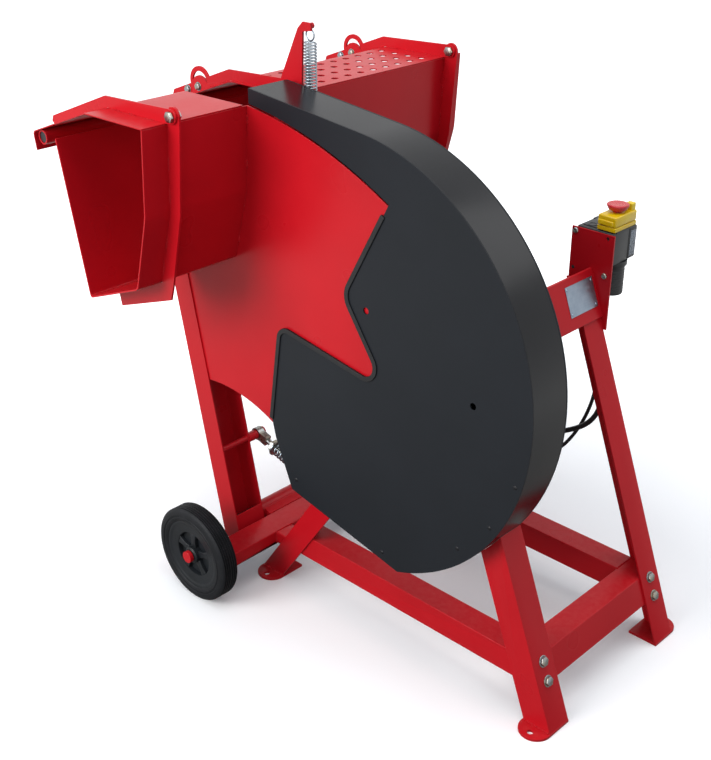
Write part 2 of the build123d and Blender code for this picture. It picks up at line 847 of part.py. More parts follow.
# Cradle trough, bent from one sheet in front of the blade slot and one behind it
trough_inner = offset_path(trough_path, trough_sheet)
with BuildPart() as trough_front_section:
    prism(strip(trough_path, trough_sheet), trough_front, trough_slot_front)
pieces["trough_front"] = trough_front_section
with BuildPart() as trough_back_section:
    prism(strip(trough_path, trough_sheet), trough_slot_back, trough_back)
pieces["trough_back"] = trough_back_section


# Side plates: sectors about the pivot that keep the blade covered while the cradle swings
plate_in_post = 25.0


def side_face(y, post_entry):
    foot_z = pivot_z + side_plate_inner
    for _ in range(20):
        foot_z = pivot_z + math.sqrt(side_plate_inner**2 - (post_face(foot_z) - pivot_x) ** 2)
    foot = (post_face(foot_z), foot_z)
    foot_angle = math.degrees(math.atan2(foot[1] - pivot_z, foot[0] - pivot_x))
    rim_angle = math.degrees(math.atan2(trough_path[4][1] - pivot_z, trough_path[4][0] - pivot_x))
    with BuildSketch(xz(y)) as outline:
        with BuildLine():
            Polyline(
                foot,
                *post_entry,
                trough_path[1],
                trough_inner[1],
                trough_inner[2],
                trough_inner[3],
                trough_inner[4],
                trough_path[4],
            )
            ThreePointArc(trough_path[4], polar(plate_rim, (rim_angle + 59.0) / 2), polar(plate_rim, 59.0))
            Polyline(polar(plate_rim, 59.0), polar(740.0, 59.0), polar(700.0, 49.5), polar(480.0, 49.5))
            Line(polar(480.0, 49.5), polar(side_plate_inner, 62.0))
            ThreePointArc(
                polar(side_plate_inner, 62.0), polar(side_plate_inner, (62.0 + foot_angle) / 2), foot
            )
        make_face()
    return outline.sketch


entry = [
    (post_face(plate_entry), plate_entry),
    (post_face(plate_entry) - plate_in_post, plate_entry),
    (post_face(620.0) - plate_in_post, 620.0),
]

shaft_reach = math.hypot(drive_x - pivot_x, drive_z - pivot_z)
shaft_angle = math.degrees(math.atan2(drive_z - pivot_z, drive_x - pivot_x))
slot_half = 30.0
slot_end = shaft_angle + swing + 5.5
with BuildPart() as side_plates:
    extrude(side_face(trough_slot_back, []), amount=side_plate, dir=(0, -1, 0))
    with BuildSketch(xz(trough_slot_back)) as shaft_slot:
        with BuildLine():
            Line(polar(shaft_reach - slot_half, 40.0), polar(shaft_reach + slot_half, 40.0))
            ThreePointArc(
                polar(shaft_reach + slot_half, 40.0),
                polar(shaft_reach + slot_half, 60.0),
                polar(shaft_reach + slot_half, slot_end),
            )
            Line(polar(shaft_reach + slot_half, slot_end), polar(shaft_reach - slot_half, slot_end))
            ThreePointArc(
                polar(shaft_reach - slot_half, slot_end),
                polar(shaft_reach - slot_half, 60.0),
                polar(shaft_reach - slot_half, 40.0),
            )
        make_face()
    extrude(shaft_slot.sketch, amount=side_plate, dir=(0, -1, 0), mode=Mode.SUBTRACT)
    extrude(side_face(trough_slot_front + side_plate, entry), amount=side_plate, dir=(0, -1, 0))
pieces["side_plates"] = side_plates

# Posts: folded channels open towards the blade, closed to box sections round the pivot
post_high = 760.0


def post_outline(low, high, out, inset):
    return [
        (post_face(low) + out, low),
        (post_face(high) + out, high),
        (post_face(high) - post_width + inset, high),
        (post_face(low) - post_width + inset, low),
    ]


post_out = guard_front
with BuildPart() as post_front:
    prism(post_outline(post_foot, post_high, 0.0, 0.0), post_out, post_out + post_depth)
    y_low = post_out + post_wall
    y_high = post_out + post_depth - post_wall
    prism(post_outline(post_foot, post_high, -post_wall, post_wall), y_low, y_high, Mode.SUBTRACT)
    prism(post_outline(post_open, post_high, 5.0, post_wall), y_low, y_high, Mode.SUBTRACT)
    disc(pivot_x, pivot_z, pivot_radius, y_high, post_out + post_depth, Mode.SUBTRACT)
    pin_y = post_out + post_depth
    pin_tip = rod_y + eye_half + 6.0
    disc(clevis_x, clevis_z, clevis_pin_radius, y_low, pin_tip)
    disc(clevis_x, clevis_z, 10.0, pin_y, rod_y - eye_half - side_play)
    disc(clevis_x, clevis_z, 10.0, rod_y + eye_half + side_play, pin_tip)
pieces["post_front"] = post_front

with BuildPart() as post_back:
    prism(post_outline(post_foot, post_high, 0.0, 0.0), -post_out - post_depth, -post_out)
    y_low = -post_out - post_depth + post_wall
    y_high = -post_out - post_wall
    prism(post_outline(post_foot, post_high, -post_wall, post_wall), y_low, y_high, Mode.SUBTRACT)
    prism(post_outline(post_open, post_high, 5.0, post_wall), y_low, y_high, Mode.SUBTRACT)
    disc(pivot_x, pivot_z, pivot_radius, -post_out - post_depth, y_low, Mode.SUBTRACT)
pieces["post_back"] = post_back

with BuildPart() as pivot_shaft:
    reach = -post_out - post_wall
    disc(pivot_x, pivot_z, pivot_radius, -reach, reach)
pieces["pivot_shaft"] = pivot_shaft

# Ribs on the outside of the trough, with the cover's hinge ears
rib_outer = 31.0
hinge_bolt_radius = 5.0
rib_foot_x = -496.0
floor_slope = (trough_path[2][1] - trough_path[1][1]) / (trough_path[2][0] - trough_path[1][0])
anchor_z = 962.0
anchor_radius = 4.0
with BuildPart() as trough_ribs:
    for y0 in (front_rib, back_rib):
        prism(
            [
                (trough_path[4][0], hinge_z),
                trough_path[4],
                trough_path[3],
                trough_path[2],
                (rib_foot_x, trough_path[2][1] + (rib_foot_x - trough_path[2][0]) * floor_slope),
                (-489.0, 610.0),
                (-343.0, 663.0),
                (trough_path[2][0] + rib_outer, trough_path[2][1] + 2.0),
                (trough_path[3][0] + rib_outer - 5.0, trough_path[3][1]),
                (hinge_x + ear_radius, trough_path[4][1]),
                (hinge_x + ear_radius, hinge_z),
            ],
            y0,
            y0 + rib_sheet,
        )
    prism(
        [
            (trough_path[4][0], hinge_z),
            trough_path[4],
            (-322.8, 910.0),
            (-292.0, 910.0),
            (spring_x + 9.0, anchor_z - 30.0),
            (spring_x + 9.0, anchor_z),
            (hinge_x + ear_radius, anchor_z),
            (hinge_x + ear_radius, hinge_z),
        ],
        middle_rib,
        middle_rib + rib_sheet,
    )
    for y0 in (front_rib, middle_rib, back_rib):
        disc(hinge_x, hinge_z, ear_radius, y0, y0 + rib_sheet)
        disc(hinge_x, hinge_z, hinge_bolt_radius, y0, y0 + rib_sheet, Mode.SUBTRACT)
    anchor_y = middle_rib + rib_sheet
    disc(spring_x, anchor_z - anchor_radius, anchor_radius, anchor_y, anchor_y + 8.0)
pieces["trough_ribs"] = trough_ribs

with BuildPart() as hinge_bolts:
    for rib_y in (front_rib, middle_rib, back_rib):
        head_y = rib_y - rib_gap - arm_sheet - side_play
        disc(hinge_x, hinge_z, hinge_bolt_radius, head_y, rib_y + rib_sheet + 8.0)
        hexagon(hinge_x, hinge_z, 9.5, head_y - 6.0, head_y)
        hexagon(hinge_x, hinge_z, 9.5, rib_y + rib_sheet, rib_y + rib_sheet + 7.0)
pieces["hinge_bolts"] = hinge_bolts

# Hold-down cover: two sheets on three arms, tied together by the handle bar
cover_path = [(-319.4, 975.6), (-473.0, 974.0), (-636.0, 913.0), (-630.0, 880.0)]
with BuildPart() as cover_sheets:
    prism(strip(cover_path, cover_sheet), cover_front, cover_slot_front)
    prism(strip(cover_path, cover_sheet), cover_slot_back, cover_back)
    with BuildSketch(Plane.XY.offset(960.0)) as perforation:
        with Locations((-398.0, 76.0)):
            with GridLocations(35.0, 34.0, 4, 11):
                Circle(hole_radius)
    extrude(perforation.sketch, amount=30.0, dir=(0, 0, 1), mode=Mode.SUBTRACT)
pieces["cover_sheets"] = cover_sheets

arm_end_radius = 12.0
eye_x = -562.0
arm_outline = [
    (hinge_x, hinge_z - arm_end_radius),
    cover_path[0],
    cover_path[1],
    cover_path[2],
    (-645.0, 921.0),
    (-641.0, 931.0),
    (-480.0, 993.0),
    (hinge_x, hinge_z + arm_end_radius),
]
grip_bolts = [(-598.0, 938.0), (-567.0, 948.0)]
grip_bolt_radius = 4.0


def make_arm(rib_y, eye):
    y0 = rib_y - rib_gap - arm_sheet
    y1 = rib_y - rib_gap
    with BuildPart() as arm:
        prism(arm_outline, y0, y1)
        disc(hinge_x, hinge_z, arm_end_radius, y0, y1)
        disc(hinge_x, hinge_z, hinge_bolt_radius + running_fit, y0, y1, Mode.SUBTRACT)
        if eye:
            disc(eye_x, 958.0, 28.0, y0, y1)
            block(-620.0, -500.0, y0, y1, 900.0, 918.0, Mode.SUBTRACT)
            prism([cover_path[1], cover_path[2], (-636.0, 860.0), (-473.0, 860.0)], y0, y1, Mode.SUBTRACT)
            with BuildSketch(xz(y1)) as crescent:
                with Locations((eye_x, 956.0)):
                    Circle(21.0)
                with Locations((eye_x, 945.0)):
                    Circle(24.0, mode=Mode.SUBTRACT)
            extrude(crescent.sketch, amount=arm_sheet, dir=(0, -1, 0), mode=Mode.SUBTRACT)
            for x, z in grip_bolts:
                disc(x, z, grip_bolt_radius, y0, y1, Mode.SUBTRACT)
    return arm.part


grip_sheet = 4.0
grip_rise = (cover_path[1][1] - cover_path[2][1]) / (cover_path[1][0] - cover_path[2][0])
with BuildPart() as cover_arms:
    add(make_arm(front_rib, False))
    add(make_arm(back_rib, True))
pieces["cover_arms"] = cover_arms

with BuildPart() as grip_plates:
    for rib_y in (middle_rib, back_rib):
        y0 = rib_y - rib_gap
        corners = []
        for x, lift in ((-614.0, 0.0), (-552.0, 0.0), (-552.0, 20.0), (-614.0, 20.0)):
            corners.append((x, cover_path[2][1] + (x - cover_path[2][0]) * grip_rise + lift))
        prism(corners, y0, y0 + grip_sheet)
        for x, z in grip_bolts:
            disc(x, z, grip_bolt_radius, y0, y0 + grip_sheet, Mode.SUBTRACT)
pieces["grip_plates"] = grip_plates

lever_top = hinge_z + lever_length
hook_radius = 5.0
hook_z = lever_top - hook_radius - 1.0
spring_y = middle_rib + rib_sheet / 2
middle_arm_back = middle_rib - rib_gap
with BuildPart() as lever_arm:
    add(make_arm(middle_rib, True))
    prism(
        [
            (hinge_x - 41.0, hinge_z + 1.0),
            (hinge_x - 13.0, hinge_z + 1.0),
            (hinge_x, hinge_z + arm_end_radius - 1.0),
            (hinge_x + 16.0, hinge_z + 5.0),
            (spring_x - 12.0, lever_top - 16.0),
            (spring_x + 8.0, lever_top - 13.0),
            (spring_x + 8.0, lever_top),
            (spring_x - 12.0, lever_top),
            (spring_x - 24.0, lever_top - 12.0),
        ],
        middle_arm_back - arm_sheet,
        middle_arm_back,
    )
    disc(spring_x, hook_z, hook_radius, middle_arm_back, spring_y + 6.0)
pieces["lever_arm"] = lever_arm

with BuildPart() as grip_bolt_set:
    for rib_y in (middle_rib, back_rib):
        y0 = rib_y - rib_gap - arm_sheet
        y1 = rib_y - rib_gap + grip_sheet
        for x, z in grip_bolts:
            disc(x, z, grip_bolt_radius, y0, y1 + 6.0)
            hexagon(x, z, 7.0, y0 - 4.5, y0)
            hexagon(x, z, 7.0, y1, y1 + 5.0)
pieces["grip_bolts"] = grip_bolt_set

slope_x = cover_path[2][0] - cover_path[1][0]
slope_z = cover_path[2][1] - cover_path[1][1]
slope_length = math.hypot(slope_x, slope_z)
bar_drop = cover_sheet + handle_radius
bar_share = 0.9
bar_x = cover_path[1][0] + slope_x * bar_share - slope_z / slope_length * bar_drop
bar_z = cover_path[1][1] + slope_z * bar_share + slope_x / slope_length * bar_drop
bar_front = cover_front + 5.0
bar_back = cover_back - 5.0
with BuildPart() as handle_bar:
    disc(bar_x, bar_z, handle_radius, bar_front, bar_back)
    disc(bar_x, bar_z, handle_radius - 3.0, bar_front, bar_back, Mode.SUBTRACT)
pieces["handle_bar"] = handle_bar

with BuildPart() as handle_caps:
    for y0, y1 in ((bar_front + 2.0, bar_front + 14.0), (bar_back - 14.0, bar_back - 2.0)):
        disc(bar_x, bar_z, handle_radius - 3.0, y0, y1)
pieces["handle_caps"] = handle_caps


# Coil springs, wound as quarter turns of two arcs each
def coil_frames(start, axis, side, radius, pitch, turns):
    across = axis.cross(side)
    frames = []
    for i in range(int(turns * 4) + 1):
        angle = i * math.pi / 2
        out = side * math.cos(angle) + across * math.sin(angle)
        around = across * math.cos(angle) - side * math.sin(angle)
        place = start + out * radius + axis * (pitch * i / 4)
        heading = (around * (2 * math.pi * radius) + axis * pitch).normalized()
        frames.append((place, heading))
    return frames


def wind(frames):
    for (p0, t0), (p1, t1) in zip(frames[:-1], frames[1:]):
        span = p1 - p0
        both = t0 + t1
        turn = 2 * (1 - t0.dot(t1))
        ahead = span.dot(both)
        reach = (-ahead + math.sqrt(ahead**2 + turn * span.dot(span))) / turn
        q0 = p0 + t0 * reach
        q1 = p1 - t1 * reach
        middle = (q0 + q1) * 0.5
        TangentArc(p0, middle, tangent=t0)
        TangentArc(middle, p1, tangent=(q1 - q0).normalized())


def self_gap(frames, wire):
    # Least distance between turns, on points at least half a turn apart.
    best = None
    for i in range(len(frames)):
        for j in range(i + 3, len(frames)):
            distance = (frames[i][0] - frames[j][0]).length - 2 * wire
            if best is None or distance < best:
                best = distance
    return best


wire_radius = 1.5
coil_radius = 10.0
coil_pitch = 6.5
coil_turns = 12.5
spring_low = anchor_z + 0.3
spring_high = hook_z - hook_radius - 0.3
coil_length = coil_pitch * coil_turns
coil_start_z = (spring_low + spring_high - coil_length) / 2
hook_bend = 4.0
lower = Vector(spring_x, spring_y, coil_start_z)
up = Vector(0, 0, 1)
cover_frames = coil_frames(lower, up, Vector(1, 0, 0), coil_radius, coil_pitch, coil_turns)
with BuildPart() as cover_spring:
    with BuildLine() as cover_path_line:
        first, heading = cover_frames[0]
        flat = Vector(heading.X, heading.Y, 0).normalized()
        foot = Vector(spring_x, spring_y, coil_start_z - coil_pitch / 4)
        tail = foot + flat * hook_bend + Vector(0, 0, -hook_bend)
        Line(Vector(tail.X, tail.Y, spring_low), tail)
        TangentArc(tail, foot, tangent=up)
        TangentArc(foot, first, tangent=flat * -1)
        wind(cover_frames)
        last, heading = cover_frames[-1]
        flat = Vector(heading.X, heading.Y, 0).normalized()
        crown = Vector(spring_x, spring_y, last.Z + coil_pitch / 4)
        nose = crown - flat * hook_bend + Vector(0, 0, hook_bend)
        TangentArc(last, crown, tangent=heading)
        TangentArc(crown, nose, tangent=flat * -1)
        Line(nose, Vector(nose.X, nose.Y, spring_high))
    with BuildSketch(Plane(origin=(tail.X, tail.Y, spring_low), z_dir=(0, 0, 1))) as cover_wire:
        Circle(wire_radius)
    sweep(cover_wire.sketch, path=cover_path_line.wire())
pieces["cover_spring"] = cover_spring
print("cover spring self gap", round(self_gap(cover_frames, wire_radius), 2))

# Return rod: clevis on the post's pin, rod through the bracket on the front left leg
rod_tail = 25.0
seat_start = 44.0
seat_thickness = 12.0
with BuildPart() as return_rod:
    with BuildSketch(rod_plane(0.0)) as rod_section:
        Circle(rod_radius)
    extrude(rod_section.sketch, amount=rod_reach + rod_tail, dir=rod_dir)
    with BuildSketch(rod_plane(0.0)) as neck_section:
        Rectangle(2 * eye_half, 20.0)
    extrude(neck_section.sketch, amount=30.0, dir=rod_dir)
    disc(clevis_x, clevis_z, 13.0, rod_y - eye_half, rod_y + eye_half)
    hole = clevis_pin_radius + running_fit
    disc(clevis_x, clevis_z, hole, rod_y - eye_half, rod_y + eye_half, Mode.SUBTRACT)
    with BuildSketch(rod_plane(seat_start)) as nut_section:
        RegularPolygon(14.0, 6)
    extrude(nut_section.sketch, amount=seat_thickness - 3.0, dir=rod_dir)
    with BuildSketch(rod_plane(seat_start + seat_thickness - 3.0)) as washer_section:
        Circle(17.0)
    extrude(washer_section.sketch, amount=3.0, dir=rod_dir)
pieces["return_rod"] = return_rod

return_wire = 2.0
return_radius = 12.0
return_start = seat_start + seat_thickness + return_wire + 0.5
return_end = rod_reach - 12.0
return_turns = 17.0
return_pitch = (return_end - return_start) / return_turns
return_base = Vector(clevis_x, rod_y, clevis_z) + rod_dir * return_start
return_frames = coil_frames(return_base, rod_dir, rod_side, return_radius, return_pitch, return_turns)
with BuildPart() as return_spring:
    with BuildLine() as return_line:
        first, heading = return_frames[0]
        Line(first - heading * (2 * return_wire), first)
        wind(return_frames)
        last, heading_end = return_frames[-1]
        Line(last, last + heading_end * (2 * return_wire))
    with BuildSketch(Plane(origin=first - heading * (2 * return_wire), z_dir=heading)) as return_section:
        Circle(return_wire)
    sweep(return_section.sketch, path=return_line.wire())
pieces["return_spring"] = return_spring
print("return spring self gap", round(self_gap(return_frames, return_wire), 2))

# Switch on a plate at the top of the back right leg
with BuildPart() as switch_plate:
    back = switch_y + switch_plate_sheet
    block(65.0, 154.0, switch_y, back, 570.0, 748.0)
    for x in (71.0, 138.0):
        for z in (671.0, 741.0):
            disc(x + 2.0, z, 3.5, switch_y, back, Mode.SUBTRACT)
pieces["switch_plate"] = switch_plate

box_front = switch_y + switch_plate_sheet
box_back = box_front + switch_depth
button_x = stop_x
button_y = 222.0
button_radius = 8.0
with BuildPart() as switch_box:
    block(switch_left, switch_right, box_front, box_back, switch_low, switch_high)
    fillet(switch_box.edges().filter_by(Axis.Z), radius=6.0)
    with BuildSketch(Plane.XY.offset(switch_high)) as well:
        with Locations((button_x, button_y)):
            Circle(button_radius + running_fit)
    extrude(well.sketch, amount=10.0, dir=(0, 0, -1), mode=Mode.SUBTRACT)
    for (x, y), radius in ((thin_start, thin_radius), (thick_start, thick_radius)):
        add(gland((x, y, switch_low), (0, 0, -1), radius))
pieces["switch_box"] = switch_box

flap_left = 112.0
flap_right = 150.0
flap_front = 201.0
flap_hinge_y = 268.0
flap_wall = 2.5
with BuildPart() as switch_collar:
    collar_high = flap_low - 0.3
    block(flap_left, flap_right, flap_front, flap_hinge_y, switch_high, collar_high)
    inside = (flap_left + 4.0, flap_right - 4.0, flap_front + 4.0, flap_hinge_y - 4.0)
    block(*inside, switch_high, collar_high, Mode.SUBTRACT)
pieces["switch_collar"] = switch_collar

with BuildPart() as switch_flap:
    block(flap_left, flap_right, flap_front, flap_hinge_y, flap_low, flap_high)
    fillet(switch_flap.edges().filter_by(Axis.Z), radius=5.0)
    latch_front = stop_y + stop_radius + 1.5
    block(stop_x + 2.0, flap_right - 3.0, latch_front, flap_hinge_y - 1.0, flap_high, flap_high + 13.0)
    inside = (flap_left + flap_wall, flap_right - flap_wall, flap_front + flap_wall, flap_hinge_y - flap_wall)
    block(*inside, flap_low, flap_high - flap_wall, Mode.SUBTRACT)
    with BuildSketch(Plane.XY.offset(flap_high)) as stem_hole:
        with Locations((stop_x, stop_y)):
            Circle(stop_stem_radius + running_fit)
    extrude(stem_hole.sketch, amount=flap_wall, dir=(0, 0, -1), mode=Mode.SUBTRACT)
pieces["switch_flap"] = switch_flap

cap_low = flap_high + stop_travel + 0.5
cap_high = cap_low + stop_cap
with BuildPart() as stop_button:
    with BuildSketch(Plane.XY.offset(flap_high - 11.0)) as stem:
        with Locations((stop_x, stop_y)):
            Circle(stop_stem_radius)
    extrude(stem.sketch, amount=cap_low - flap_high + 11.0, dir=(0, 0, 1))
    with BuildSketch(Plane.XY.offset(flap_high - 11.0)) as catch:
        with Locations((stop_x, stop_y)):
            Circle(stop_stem_radius + 3.0)
    extrude(catch.sketch, amount=4.0, dir=(0, 0, 1))
    with BuildSketch(Plane.XY.offset(cap_low)) as mushroom:
        with Locations((stop_x, stop_y)):
            Circle(stop_radius)
    extrude(mushroom.sketch, amount=cap_high - cap_low, dir=(0, 0, 1))
    fillet(stop_button.edges().sort_by(Axis.Z)[-1:], radius=stop_cap / 2)
pieces["stop_button"] = stop_button

with BuildPart() as start_button:
    with BuildSketch(Plane.XY.offset(switch_high - 6.0)) as start_face:
        with Locations((button_x, button_y)):
            Circle(button_radius)
    extrude(start_face.sketch, amount=10.0, dir=(0, 0, 1))
pieces["start_button"] = start_button

inlet_x = 128.0
inlet_y = 240.0
with BuildPart() as mains_inlet:
    for z0, z1, radius in ((switch_low - 65.0, switch_low, 22.0), (switch_low - 8.0, switch_low, 25.0)):
        with BuildSketch(Plane.XY.offset(z0)) as tube:
            with Locations((inlet_x, inlet_y)):
                Circle(radius)
        extrude(tube.sketch, amount=z1 - z0, dir=(0, 0, 1))
    with BuildSketch(Plane.XY.offset(switch_low - 65.0)) as socket:
        with Locations((inlet_x, inlet_y)):
            Circle(18.0)
    extrude(socket.sketch, amount=45.0, dir=(0, 0, 1), mode=Mode.SUBTRACT)
    with BuildSketch(Plane.XY.offset(switch_low - 20.0)) as pins:
        with Locations((inlet_x, inlet_y)):
            with PolarLocations(10.0, 4):
                Circle(2.5)
    extrude(pins.sketch, amount=28.0, dir=(0, 0, -1))
pieces["mains_inlet"] = mains_inlet


# Leads from the switch to the motor's terminal box
def make_lead(points, radius):
    radii = []
    for i in range(1, len(points) - 1):
        before = Vector(*points[i]) - Vector(*points[i - 1])
        after = Vector(*points[i + 1]) - Vector(*points[i])
        turn = math.radians(before.get_angle(after))
        radii.append(0.45 * min(before.length, after.length) / math.tan(turn / 2))
    with BuildPart() as lead:
        with BuildLine() as run:
            FilletPolyline(*points, radius=radii)
        start = run.wire() @ 0
        with BuildSketch(Plane(origin=start, z_dir=run.wire() % 0)) as core:
            Circle(radius)
        sweep(core.sketch, path=run.wire())
    length = run.wire().length
    share = lead.part.volume / (math.pi * radius**2 * length)
    print("lead radii", [round(r, 1) for r in radii], "volume share", round(share, 4))
    return lead.part


entry_thin = motor_point(box_far, thin_entry[0])
entry_thick = motor_point(box_far, thick_entry[0])
thin_points = [
    (*thin_start, switch_low),
    (*thin_start, 638.0),
    (105.0, 228.0, 562.0),
    (130.0, 218.0, 490.0),
    (134.0, 215.0, 424.0),
    (108.0, 212.0, 342.0),
    (70.0, 196.0, 280.0),
    (10.0, 156.0, 262.0),
    (-54.0, 112.0, 290.0),
    (-104.0, 66.0, 350.0),
    (-138.0, 34.0, 416.0),
    (entry_thin[0] - along[0] * 48.0, thin_entry[1], entry_thin[1] - along[1] * 48.0),
    (entry_thin[0], thin_entry[1], entry_thin[1]),
]
thick_points = [
    (*thick_start, switch_low),
    (*thick_start, 630.0),
    (108.0, 206.0, 556.0),
    (140.0, 203.0, 488.0),
    (160.0, 202.0, 424.0),
    (140.0, 200.0, 372.0),
    (92.0, 194.0, 338.0),
    (34.0, 166.0, 322.0),
    (-22.0, 122.0, 326.0),
    (-80.0, 74.0, 346.0),
    (-132.0, 22.0, 386.0),
    (entry_thick[0] - along[0] * 70.0, thick_entry[1], entry_thick[1] - along[1] * 70.0),
    (entry_thick[0], thick_entry[1], entry_thick[1]),
]
with BuildPart() as lead_thin:
    add(make_lead(thin_points, thin_radius))
pieces["lead_thin"] = lead_thin
with BuildPart() as lead_thick:
    add(make_lead(thick_points, thick_radius))
pieces["lead_thick"] = lead_thick

os.makedirs("parts", exist_ok=True)
for name, piece in pieces.items():
    piece.part.label = name
    export_step(piece.part, f"parts/{name}.step")
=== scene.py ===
import math

import bmesh
import bpy
from mathutils import Matrix, Vector


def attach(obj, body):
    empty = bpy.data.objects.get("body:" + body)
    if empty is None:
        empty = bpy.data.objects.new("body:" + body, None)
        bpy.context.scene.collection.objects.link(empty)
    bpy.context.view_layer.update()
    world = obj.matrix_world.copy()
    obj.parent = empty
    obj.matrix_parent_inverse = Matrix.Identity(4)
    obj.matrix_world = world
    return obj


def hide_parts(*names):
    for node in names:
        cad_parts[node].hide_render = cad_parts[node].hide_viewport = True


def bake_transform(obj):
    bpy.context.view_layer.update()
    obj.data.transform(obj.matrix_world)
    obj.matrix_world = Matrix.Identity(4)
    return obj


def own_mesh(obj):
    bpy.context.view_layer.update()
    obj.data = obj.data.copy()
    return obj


bl_info = {
    "name": "Firewood saw finish",
    "version": (1, 0, 0),
    "blender": (4, 5, 0),
    "location": "View3D > Sidebar > Saw",
    "description": "Dresses the packed firewood saw with painted steel, rubber, plastic and zinc pieces",
    "category": "Object",
}

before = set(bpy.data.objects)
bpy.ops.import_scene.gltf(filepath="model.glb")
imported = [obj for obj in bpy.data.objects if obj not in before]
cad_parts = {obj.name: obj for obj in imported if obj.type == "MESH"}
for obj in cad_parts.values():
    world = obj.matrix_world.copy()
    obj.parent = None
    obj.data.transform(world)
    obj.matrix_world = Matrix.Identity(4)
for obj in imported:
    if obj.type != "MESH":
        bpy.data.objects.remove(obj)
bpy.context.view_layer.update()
MM = 0.001

# Base frame, in millimetres: feet, lean of the legs, leg section, cross beams, axle beam and top rail
FOOT_X = 364.0
FOOT_Y = 195.0
LEAN_RIGHT = 0.376
LEAN_LEFT = 0.688
LEG_WEB = 54.0
LEG_FLANGE = 56.0
LEG_SHEET = 4.0
BEAM_LOW = 80.0
BEAM_HIGH = 130.0
SIDE_BEAM = 312.0
AXLE_BEAM_RIGHT = -326.0
AXLE_BEAM_HIGH = 98.0
RAIL_LOW = 597.0
RAIL_HIGH = 678.0
RAIL_FRONT = -140.0

# Wheels: the axle's X and Z, and the Y where the hubs start
AXLE = (-385.0, 98.6)
WHEEL_INNER = 322.0

# Cradle: the trough's outer line in X and Z, its slot for the blade, front faces of the ribs, and the posts
TROUGH = ((-569.2, 912.0), (-509.7, 634.0), (-365.0, 690.0), (-328.0, 825.0), (-319.0, 973.0))
SLOT = (-228.0, -160.0)
RIBS = (-396.7, -125.7, 284.3)
RIB_SHEET = 4.0
POST_FOOT = (-395.0, 98.0)
POST_LEAN = 0.214

# Cover: hinge and grip bolts in X and Z, the arms' sheet and their gap to the ribs
HINGE = (-304.0, 989.0)
GRIPS = ((-598.0, 938.0), (-567.0, 948.0))
ARM_SHEET = 4.0
ARM_GAP = 0.3

# Springs: the pull spring's first turn and eyes, the return rod's pin and guide hole, the room at its ends
PULL_SPRING = Vector((-272.0, -123.7, 984.0))
PULL_EYES = (974.4, 1081.0)
CLEVIS = Vector((-437.0, -130.0, 260.0))
GUIDE = Vector((-228.4, -130.0, 200.0))
CLEVIS_ROOM = 58.5
GUIDE_ROOM = 12.0

# Guard: centre in X and Z, radius, front face, and the rivets as an angle and an inset from the rim
GUARD = (-94.0, 579.0)
GUARD_RADIUS = 400.0
GUARD_FRONT = -231.0
RIVETS = ((-14.8, 12.0), (-30.5, 17.0), (-44.8, 25.0), (-74.8, 34.0), (-112.7, 81.0))

# Switch: plate's front and its four fixing holes, box and flap as left, right, front, back, low and high
SWITCH_Y = 195.0
HOLES_X = (73.0, 140.0)
HOLES_Z = (671.0, 741.0)
BOX = (72.0, 152.0, 198.0, 272.0, 690.0, 752.0)
HOOD_Y = 247.0
FLAP = (112.0, 150.0, 201.0, 268.0, 760.4, 779.9)
STOP = (131.0, 233.0, 769.0)
INLET = (128.0, 240.0, 625.0)

# Routes of the two leads from the switch to the motor's terminal box, in millimetres
THIN_LEAD = (
    (92.0, 234.0, 690.0), (92.0, 234.0, 638.0), (105.0, 228.0, 562.0), (130.0, 218.0, 490.0),
    (134.0, 215.0, 424.0), (108.0, 212.0, 342.0), (70.0, 196.0, 280.0), (10.0, 156.0, 262.0),
    (-54.0, 112.0, 290.0), (-104.0, 66.0, 350.0), (-138.0, 34.0, 416.0), (-163.7, 10.0, 488.6),
    (-136.5, 10.0, 528.2),
)
THICK_LEAD = (
    (86.0, 212.0, 690.0), (86.0, 212.0, 630.0), (108.0, 206.0, 556.0), (140.0, 203.0, 488.0),
    (160.0, 202.0, 424.0), (140.0, 200.0, 372.0), (92.0, 194.0, 338.0), (34.0, 166.0, 322.0),
    (-22.0, 122.0, 326.0), (-80.0, 74.0, 346.0), (-132.0, 22.0, 386.0), (-149.9, -24.0, 452.3),
    (-110.2, -24.0, 510.0),
)
THIN_DIAMETER = 7.0
THICK_DIAMETER = 10.0


def right_web(z):
    """X of the right legs' outer face at a height."""
    return FOOT_X - LEAN_RIGHT * z


def left_web(z):
    """X of the left legs' outer face at a height."""
    return -FOOT_X + LEAN_LEFT * z


def post_face(z):
    """X of the cradle posts' face at a height."""
    return POST_FOOT[0] - POST_LEAN * (z - POST_FOOT[1])


# Colour and node helpers
def linear(code):
    """An sRGB hex colour as linear red, green, blue and alpha."""
    shades = []
    for i in (1, 3, 5):
        value = int(code[i:i + 2], 16) / 255
        shades.append(value / 12.92 if value <= 0.04045 else ((value + 0.055) / 1.055) ** 2.4)
    return (*shades, 1.0)


def add_node(tree, kind, settings=None, inputs=None, feeds=None):
    """Adds a node with its settings, its socket values and links, and the sockets that its outputs feed."""
    made = tree.nodes.new(kind)
    for name, value in (settings or {}).items():
        setattr(made, name, value)
    for name, value in (inputs or {}).items():
        if isinstance(value, bpy.types.NodeSocket):
            tree.links.new(value, made.inputs[name])
        else:
            made.inputs[name].default_value = value
    for name, socket in (feeds or {}).items():
        tree.links.new(made.outputs[name], socket)
    return made


def new_material(name):
    """A material with its node tree, its shader and the object coordinates that its patterns follow."""
    material = bpy.data.materials.new(name)
    material.use_nodes = True
    tree = material.node_tree
    place = add_node(tree, "ShaderNodeTexCoord").outputs["Object"]
    return material, tree, tree.nodes["Principled BSDF"], place


FINISHES = {}


